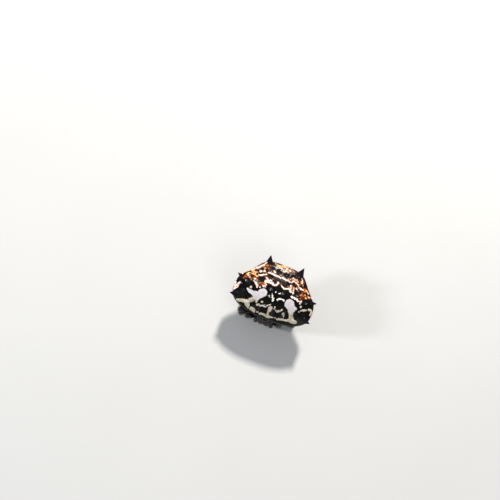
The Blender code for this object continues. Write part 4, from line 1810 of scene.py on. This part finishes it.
    def groove(self, x: np.ndarray, y: float) -> np.ndarray:
        """Depth of the slanting grooves that part the head from the thorax.

        Args:
            x: places across.
            y: their place along.

        Returns:
            The depth at each place, in mm.
        """
        line = self.groove_start - self.groove_slant * np.abs(x) ** 1.2
        dip = self.groove_depth * np.exp(-(((y - line) / self.groove_width) ** 2))
        return dip * smoothstep(np.abs(x), 0.10, 0.35)

    def eye_seats(self, lenses: dict[str, tuple[Vector, float]]) -> list[Piece]:
        """Low mounds that the lenses sit in.

        Args:
            lenses: centre and radius of each eye.

        Returns:
            The closed mounds.
        """
        seats = []
        for name, (centre, radius) in lenses.items():
            inward = Vector((0.0, HEAD_AXIS_Y, centre.z)) - centre
            place = centre + inward.normalized() * radius * self.seat_sink
            seats.append(ellipsoid(f"seat_{name}", place, (radius * self.seat_width,) * 3, 28, 16))
        return seats

    def build(self, lenses: dict[str, tuple[Vector, float]]) -> Piece:
        """Models the skin.

        Args:
            lenses: centre and radius of each eye, in mm of the drawing.

        Returns:
            The skin, in mm and not yet dressed.
        """
        pieces = self.head() + self.eye_seats(lenses)
        for side in Side:
            self.limbs[f"chelicera_{side.word}"] = self.chain(self.chelicera, side)
            self.limbs[f"palp_{side.word}"] = self.chain(self.palp, side)
            for number in self.legs:
                self.limbs[f"leg_{number}_{side.word}"] = self.leg_limbs(number, side)
        for name, limbs in self.limbs.items():
            pieces.extend(self.stretch(f"{name}_{index}", limb) for index, limb in enumerate(limbs))
        obj = fused("body_skin", pieces, self.voxel, 1)
        points = read_points(obj)
        points[:, 2] = np.maximum(points[:, 2], 0.0)
        write_points(obj, points)
        write_attribute(obj, "joint", self.near_joints(points))
        return obj

    def near_joints(self, points: np.ndarray) -> np.ndarray:
        """How near places lie to a leg's joint, from 0 to 1.

        Args:
            points: the places.

        Returns:
            The share at each.
        """
        near = np.zeros(len(points))
        for joint in self.joints:
            away = np.linalg.norm(points - np.array(joint), axis=1)
            near = np.maximum(near, 1.0 - smoothstep(away, *self.joint_glow))
        return near


@dataclass
class Hooks:
    """Fangs and the claws of the feet, as small curved horns.

    Args:
        sides: faces round a horn.
        rows: rings along a horn.
        fang_size: length of a fang, its root's radius and how far it bends.
        claw_size: root radius of a claw and how far it bends.
        claw_set: how far to the side each claw of a foot stands, and its length.
        claw_ahead: how far ahead of the foot's end the claws stand.
        claw_height: how high over it.
        floor_gap: lowest place of a claw.
    """

    sides: int = 14
    rows: int = 12
    fang_size: Place = (0.26, 0.075, 0.12)
    fang_way: Place = (-0.72, 0.10, -0.62)
    fang_lift: float = 0.02
    claw_size: tuple[float, float] = (0.034, 0.055)
    claw_set: tuple[tuple[float, float], ...] = ((-0.075, 0.24), (0.075, 0.24), (0.0, 0.17))
    claw_ahead: float = 0.10
    claw_height: float = 0.055
    floor_gap: float = 0.012

    def horn(self, name: str, start: Vector, ahead: Vector, down: Vector, size: Place) -> Piece:
        """Models one curved horn.

        Args:
            name: name of the piece.
            start: middle of its root.
            ahead: the way it leaves its root.
            down: the way it bends.
            size: its length, its root's radius and how far it bends, in mm.

        Returns:
            The horn.
        """
        length, radius, bend = size
        shares = np.linspace(0.0, 1.0, self.rows)
        path = np.array([start + ahead * length * s + down * bend * s * s for s in shares])
        radii = radius * (1.0 - shares) ** 0.8 + radius * 0.10
        return swept(name, path, radii, self.sides)

    def build(self, skin: Skin) -> None:
        """Makes the fangs and the claws of all feet.

        Args:
            skin: the skin, already built.
        """
        finish = HornFinish().make()
        for side in Side:
            tip = skin.limbs[f"chelicera_{side.word}"][-1].end
            start = Vector(tip) + Vector((0.0, 0.0, self.fang_lift))
            way = side.mirror(self.fang_way).normalized()
            fang = self.horn(f"fang_{side.word}", start, way, Vector((0.0, 1.0, 0.0)), self.fang_size)
            settle(fang, finish)
            for number in skin.legs:
                limb = skin.limbs[f"leg_{number}_{side.word}"][-1]
                self.claws(f"claws_{number}_{side.word}", limb, finish)

    def claws(self, name: str, limb: Limb, finish: bpy.types.Material) -> None:
        """A pair of claws with a smaller middle one at the end of a foot.

        Args:
            name: name of the piece.
            limb: the foot.
            finish: material of the claws.
        """
        end = Vector(limb.end)
        ahead = end - Vector(limb.start)
        ahead.z = 0.0
        ahead.normalize()
        across = Vector((-ahead.y, ahead.x, 0.0))
        down = Vector((0.0, 0.0, -1.0))
        pieces = []
        for shift, length in self.claw_set:
            start = end + ahead * self.claw_ahead + across * shift + Vector((0.0, 0.0, self.claw_height))
            way = (ahead + across * shift * 2.0).normalized()
            pieces.append(self.horn(name, start, way, down, (length, *self.claw_size)))
        select_only(*pieces)
        bpy.ops.object.join()
        obj = bpy.context.object
        obj.name = name
        points = read_points(obj)
        points[:, 2] = np.maximum(points[:, 2], self.floor_gap)
        write_points(obj, points)
        settle(obj, finish)


@dataclass
class Eyes:
    """The eight lenses, each in the place of its node, with a cornea that stands out by a share of it."""

    names: tuple[str, ...] = ("anterior_median", "posterior_median", "anterior_lateral", "posterior_lateral")
    cornea: float = 0.05
    cornea_from: float = 0.2

    def seats(self) -> dict[str, tuple[Vector, float]]:
        """Centre and radius of each lens in mm of the drawing, read from the frame.

        Returns:
            Centre and radius by the name of the eye.
        """
        shift = Vector(frame_shift())
        found = {}
        for name in self.names:
            for side in Side:
                low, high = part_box(f"eye_{name}_{side.word}")
                centre = (low + high) / (2.0 * MM) - shift
                found[f"{name}_{side.word}"] = (centre, (high.z - low.z) / (2.0 * MM))
        return found

    def build(self) -> None:
        """Makes the lenses, each a ball with a steeper cornea on its outer side."""
        finish = LensFinish().make()
        for name, (centre, radius) in self.seats().items():
            obj = ellipsoid(f"lens_{name}", (0.0, 0.0, 0.0), (radius,) * 3, 40, 26)
            points = read_points(obj)
            out = Vector((centre.x, centre.y - HEAD_AXIS_Y, 0.0)).normalized()
            facing = points @ np.array(out) / radius
            swell = 1.0 + self.cornea * smoothstep(facing, self.cornea_from, 1.0)
            points = points * swell[:, None] + np.array(centre)
            write_points(obj, points)
            settle(obj, finish, (f"eye_{name}",))


@dataclass
class Coat:
    """Bristles of one region, drawn by a seeded generator and joined into one mesh.

    Args:
        name: name of the piece.
        length: shortest and longest bristle in mm.
        width: radius at the root in mm.
        lean: how far the bristles lie down along the limb, from 0 upright to 1 flat.
        seed: seed of the draw.
        rows: rings of a bristle, each with as many sides.
        ends: shares of a stretch's length between which its bristles stand.
        reach: how far from a stretch's middle the skin is looked for, in its radii.
        own_skin: how far from it the skin still counts as its own, in its radii.
        jitter: how far the ways of neighbours differ.
        root_depth: how deep the roots stand in the skin, in mm.
        droop: share of its length by which a bristle's tip bends down.
        floor_gap: lowest place of a bristle, in mm.
        margin: share of a chart of the unwrap that is left free on each side.
        patch: size of a bristle's own patch on the unwrap.
        roots: place, normal, way along the limb and place on the unwrap of each root.
    """

    name: str
    length: tuple[float, float]
    width: float
    lean: float
    seed: int
    rows: int = 4
    sides: int = 3
    ends: tuple[float, float] = (0.04, 0.97)
    reach: float = 2.2
    own_skin: float = 1.45
    jitter: float = 0.16
    root_depth: float = 0.012
    droop: float = 0.16
    floor_gap: float = 0.004
    margin: float = 0.08
    patch: float = 0.003
    roots: list[tuple[Vector, Vector, Vector, tuple[float, float]]] = field(default_factory=list)

    def plant(self, surface: BVHTree, limb: Limb, count: int, chart: int, charts: int) -> None:
        """Finds roots on the skin over one stretch.

        Args:
            surface: the skin.
            limb: the stretch.
            count: how many to try.
            chart: which of the charts of the unwrap this stretch fills.
            charts: how many charts stand along each side of the unwrap.
        """
        draw = np.random.default_rng(self.seed + chart)
        start = Vector(limb.start)
        way = Vector(limb.end) - start
        along = way.normalized()
        side_way = along.orthogonal().normalized()
        other = along.cross(side_way)
        for _ in range(count):
            share = draw.uniform(*self.ends)
            turn = draw.uniform(0.0, 2.0 * math.pi)
            out = side_way * math.cos(turn) + other * math.sin(turn)
            middle = start + way * share
            expected = limb.radius_at(share)
            spot, normal, _, away = surface.ray_cast(middle, out, expected * self.reach)
            if spot is None or away > expected * self.own_skin:
                continue
            wide = 1.0 - 2.0 * self.margin
            place = (
                (chart % charts + self.margin + wide * share) / charts,
                (chart // charts + self.margin + wide * turn / (2.0 * math.pi)) / charts,
            )
            self.roots.append((spot, normal, along, place))

    def build(self, finish: bpy.types.Material, slot: str) -> None:
        """Grows one bristle from each root and joins them.

        Args:
            finish: material of the bristles.
            slot: not used.
        """
        draw = np.random.default_rng(self.seed)
        per = self.rows * self.sides + 1
        total = len(self.roots)
        places = np.zeros((total, per, 3))
        patches = np.zeros((total, per, 2))
        for index, (spot, normal, along, patch) in enumerate(self.roots):
            jitter = Vector(draw.normal(0.0, self.jitter, 3))
            lie = (along - normal * along.dot(normal) + jitter).normalized()
            stand = (normal * (1.0 - self.lean) + lie * self.lean).normalized()
            length = draw.uniform(*self.length)
            across = stand.cross(normal)
            across = across.normalized() if across.length > 1e-4 else stand.orthogonal().normalized()
            up = across.cross(stand).normalized()
            bend = normal * length * self.droop
            for row in range(self.rows):
                share = row / self.rows
                middle = spot - normal * self.root_depth + stand * length * share - bend * share**2
                radius = self.width * (1.0 - share) ** 0.8
                for side in range(self.sides):
                    turn = 2.0 * math.pi * side / self.sides
                    point = middle + radius * (math.cos(turn) * across + math.sin(turn) * up)
                    places[index, row * self.sides + side] = point
                    patches[index, row * self.sides + side] = (side / self.sides - 0.5, share - 0.5)
            places[index, -1] = spot + stand * length - bend
            patches[index, -1] = (0.0, 0.5)
            patches[index] = patches[index] * self.patch + patch
        places[:, :, 2] = np.maximum(places[:, :, 2], self.floor_gap)
        obj = self.joined(places.reshape(-1, 3), total, per)
        self.unwrap(obj, patches.reshape(-1, 2))
        settle(obj, finish)

    def joined(self, places: np.ndarray, total: int, per: int) -> Piece:
        """Makes one mesh of all bristles.

        Args:
            places: corners of all bristles, one after another.
            total: how many bristles.
            per: corners of each.

        Returns:
            The piece.
        """
        faces = [tuple(range(self.sides - 1, -1, -1))]
        for row in range(self.rows - 1):
            for side in range(self.sides):
                after = (side + 1) % self.sides
                low = row * self.sides
                faces.append((low + side, low + after, low + self.sides + after, low + self.sides + side))
        last = (self.rows - 1) * self.sides
        for side in range(self.sides):
            faces.append((last + side, last + (side + 1) % self.sides, per - 1))
        every = [tuple(corner + index * per for corner in face) for index in range(total) for face in faces]
        mesh = bpy.data.meshes.new(self.name)
        mesh.from_pydata(places.tolist(), [], every)
        mesh.update()
        obj = bpy.data.objects.new(self.name, mesh)
        bpy.context.scene.collection.objects.link(obj)
        return faced_outwards(obj)

    def unwrap(self, obj: Piece, patches: np.ndarray) -> None:
        """Lays each bristle on a small patch at its root's place on the skin's unwrap.

        Args:
            obj: the bristles.
            patches: place of each corner on the unwrap.
        """
        layer = obj.data.uv_layers.new(name=COAT_MAP)
        corners = np.zeros(len(obj.data.loops), np.int32)
        obj.data.loops.foreach_get("vertex_index", corners)
        layer.data.foreach_set("uv", patches[corners].astype(np.float32).ravel())


@dataclass(frozen=True)
class Lamp:
    """One soft square light that looks at the spider.

    Args:
        name: name of the light.
        place: where it hangs, in metres.
        size: its side in metres.
        power: its power in watts.
        colour: its colour.
    """

    name: str
    place: Place
    size: float
    power: float
    colour: Place


@dataclass
class Studio:
    """Pale floor, soft lights and the camera at the photograph's angle.

    Args:
        frame_width: width that the picture shows at the crown, in mm.
        lens: focal length of the camera, and sensor the width behind it, in mm.
        elevation: degrees by which the camera looks down.
        roll: degrees by which it is turned about its own line of sight.
        crown_pixel: place of the shield's crown in the picture, of as many pixels on each side.
    """

    frame_width: float = 59.5
    lens: float = 100.0
    sensor: float = 36.0
    elevation: float = 67.0
    roll: float = 21.7
    pixels: float = 500.0
    crown_pixel: tuple[float, float] = (275.9, 292.7)
    crown: Place = (0.0, 0.0, 5.0)
    floor_size: float = 1.6
    room_colour: Place = (0.90, 0.93, 1.0)
    room_strength: float = 0.28
    lamps: tuple[Lamp, ...] = (
        Lamp("key", (-0.01, 0.185, 0.155), 0.026, 0.78, (1.0, 0.97, 0.92)),
        Lamp("fill", (0.14, -0.16, 0.16), 0.14, 0.13, (0.97, 0.98, 1.0)),
        Lamp("rim", (-0.20, -0.08, 0.09), 0.030, 0.30, (0.90, 0.95, 1.0)),
    )

    def camera(self) -> None:
        """Sets the camera so that the shield's crown falls on its pixel of the photograph."""
        tilt = math.radians(self.elevation)
        roll = math.radians(self.roll)
        back = Vector((0.0, -math.cos(tilt), math.sin(tilt)))
        level = Vector((1.0, 0.0, 0.0))
        rise = Vector((0.0, math.sin(tilt), math.cos(tilt)))
        right = level * math.cos(roll) + rise * math.sin(roll)
        up = rise * math.cos(roll) - level * math.sin(roll)
        distance = self.frame_width * self.lens / self.sensor
        across = (self.crown_pixel[0] - self.pixels / 2.0) / self.pixels * self.frame_width
        down = (self.crown_pixel[1] - self.pixels / 2.0) / self.pixels * self.frame_width
        crown = Vector(self.crown) + Vector(frame_shift())
        place = crown + back * distance - right * across + up * down
        data = bpy.data.cameras.new("camera")
        data.lens = self.lens
        data.sensor_width = self.sensor
        data.clip_start = 0.002
        data.clip_end = 10.0
        obj = bpy.data.objects.new("camera", data)
        turned = Matrix((right, up, back)).transposed()
        obj.matrix_world = Matrix.Translation(place * MM) @ turned.to_4x4()
        bpy.context.scene.collection.objects.link(obj)
        bpy.context.scene.camera = obj

    def light(self, lamp: Lamp) -> None:
        """Hangs one light.

        Args:
            lamp: the light.
        """
        data = bpy.data.lights.new(lamp.name, "AREA")
        data.shape = "SQUARE"
        data.size = lamp.size
        data.energy = lamp.power
        data.color = lamp.colour
        obj = bpy.data.objects.new(lamp.name, data)
        obj.location = lamp.place
        obj.rotation_euler = (-Vector(lamp.place)).to_track_quat("-Z", "Y").to_euler()
        bpy.context.scene.collection.objects.link(obj)

    def floor(self) -> None:
        """Lays the floor."""
        bpy.ops.object.select_all(action="DESELECT")
        bpy.ops.mesh.primitive_plane_add(size=self.floor_size)
        floor = bpy.context.object
        floor.name = "floor"
        floor.data.materials.append(FloorFinish().make())

    def world(self) -> None:
        """Fills the room with a weak even light."""
        world = bpy.data.worlds.new("room")
        world.use_nodes = True
        background = world.node_tree.nodes["Background"]
        background.inputs["Color"].default_value = (*self.room_colour, 1.0)
        background.inputs["Strength"].default_value = self.room_strength
        bpy.context.scene.world = world

    def build(self) -> None:
        """Sets up the whole studio."""
        self.floor()
        self.world()
        for lamp in self.lamps:
            self.light(lamp)
        bpy.context.scene.view_settings.view_transform = "Standard"
        self.camera()


@dataclass
class Coats:
    """The bristles of the limbs, and of the head and thorax.

    Args:
        limb_density: bristles tried for each mm of a limb of the usual radius.
        usual_radius: that radius, in mm.
        trunk_count: bristles tried on the head and thorax.
        trunk: the stretch that stands for the head and thorax.
    """

    limb_density: float = 115.0
    usual_radius: float = 0.3
    trunk_count: int = 1500
    trunk: Limb = Limb((0.0, -1.0, 2.02), (0.0, -3.2, 2.10), 1.3, 0.8, 0.8)

    def build(self, skin: Skin, obj: Piece) -> None:
        """Grows both coats on the skin.

        Args:
            skin: the skin's stretches.
            obj: its piece, in mm and not yet settled.
        """
        surface = BVHTree.FromObject(obj, bpy.context.evaluated_depsgraph_get())
        limbs = [limb for stretches in skin.limbs.values() for limb in stretches]
        charts = math.ceil(math.sqrt(len(limbs) + 1))
        leg_coat = Coat("limb_bristles", (0.10, 0.30), 0.0075, 0.58, 11)
        for chart, limb in enumerate(limbs):
            span = (Vector(limb.end) - Vector(limb.start)).length
            count = int(self.limb_density * span * limb.radius / self.usual_radius)
            leg_coat.plant(surface, limb, count, chart, charts)
        head_coat = Coat("head_bristles", (0.10, 0.26), 0.0075, 0.66, 23)
        head_coat.plant(surface, self.trunk, self.trunk_count, 0, 1)
        leg_coat.build(BristleFinish("limb bristles").make(), "legs")
        head_finish = BristleFinish("head bristles", pale=(0.52, 0.48, 0.42), rare=0.84)
        head_coat.build(head_finish.make(), "carapace")


def main() -> None:
    """Builds every piece in order."""
    logging.basicConfig(level=logging.INFO, format="%(name)s: %(message)s")
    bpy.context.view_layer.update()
    Shield().build()
    eyes = Eyes()
    skin = Skin()
    obj = skin.build(eyes.seats())
    Coats().build(skin, obj)
    nodes = ["cephalothorax", *skin.limbs]
    settle(obj, CuticleFinish().make(), nodes)
    eyes.build()
    Hooks().build(skin)
    Studio().build()


if __name__ == "__main__":
    main()
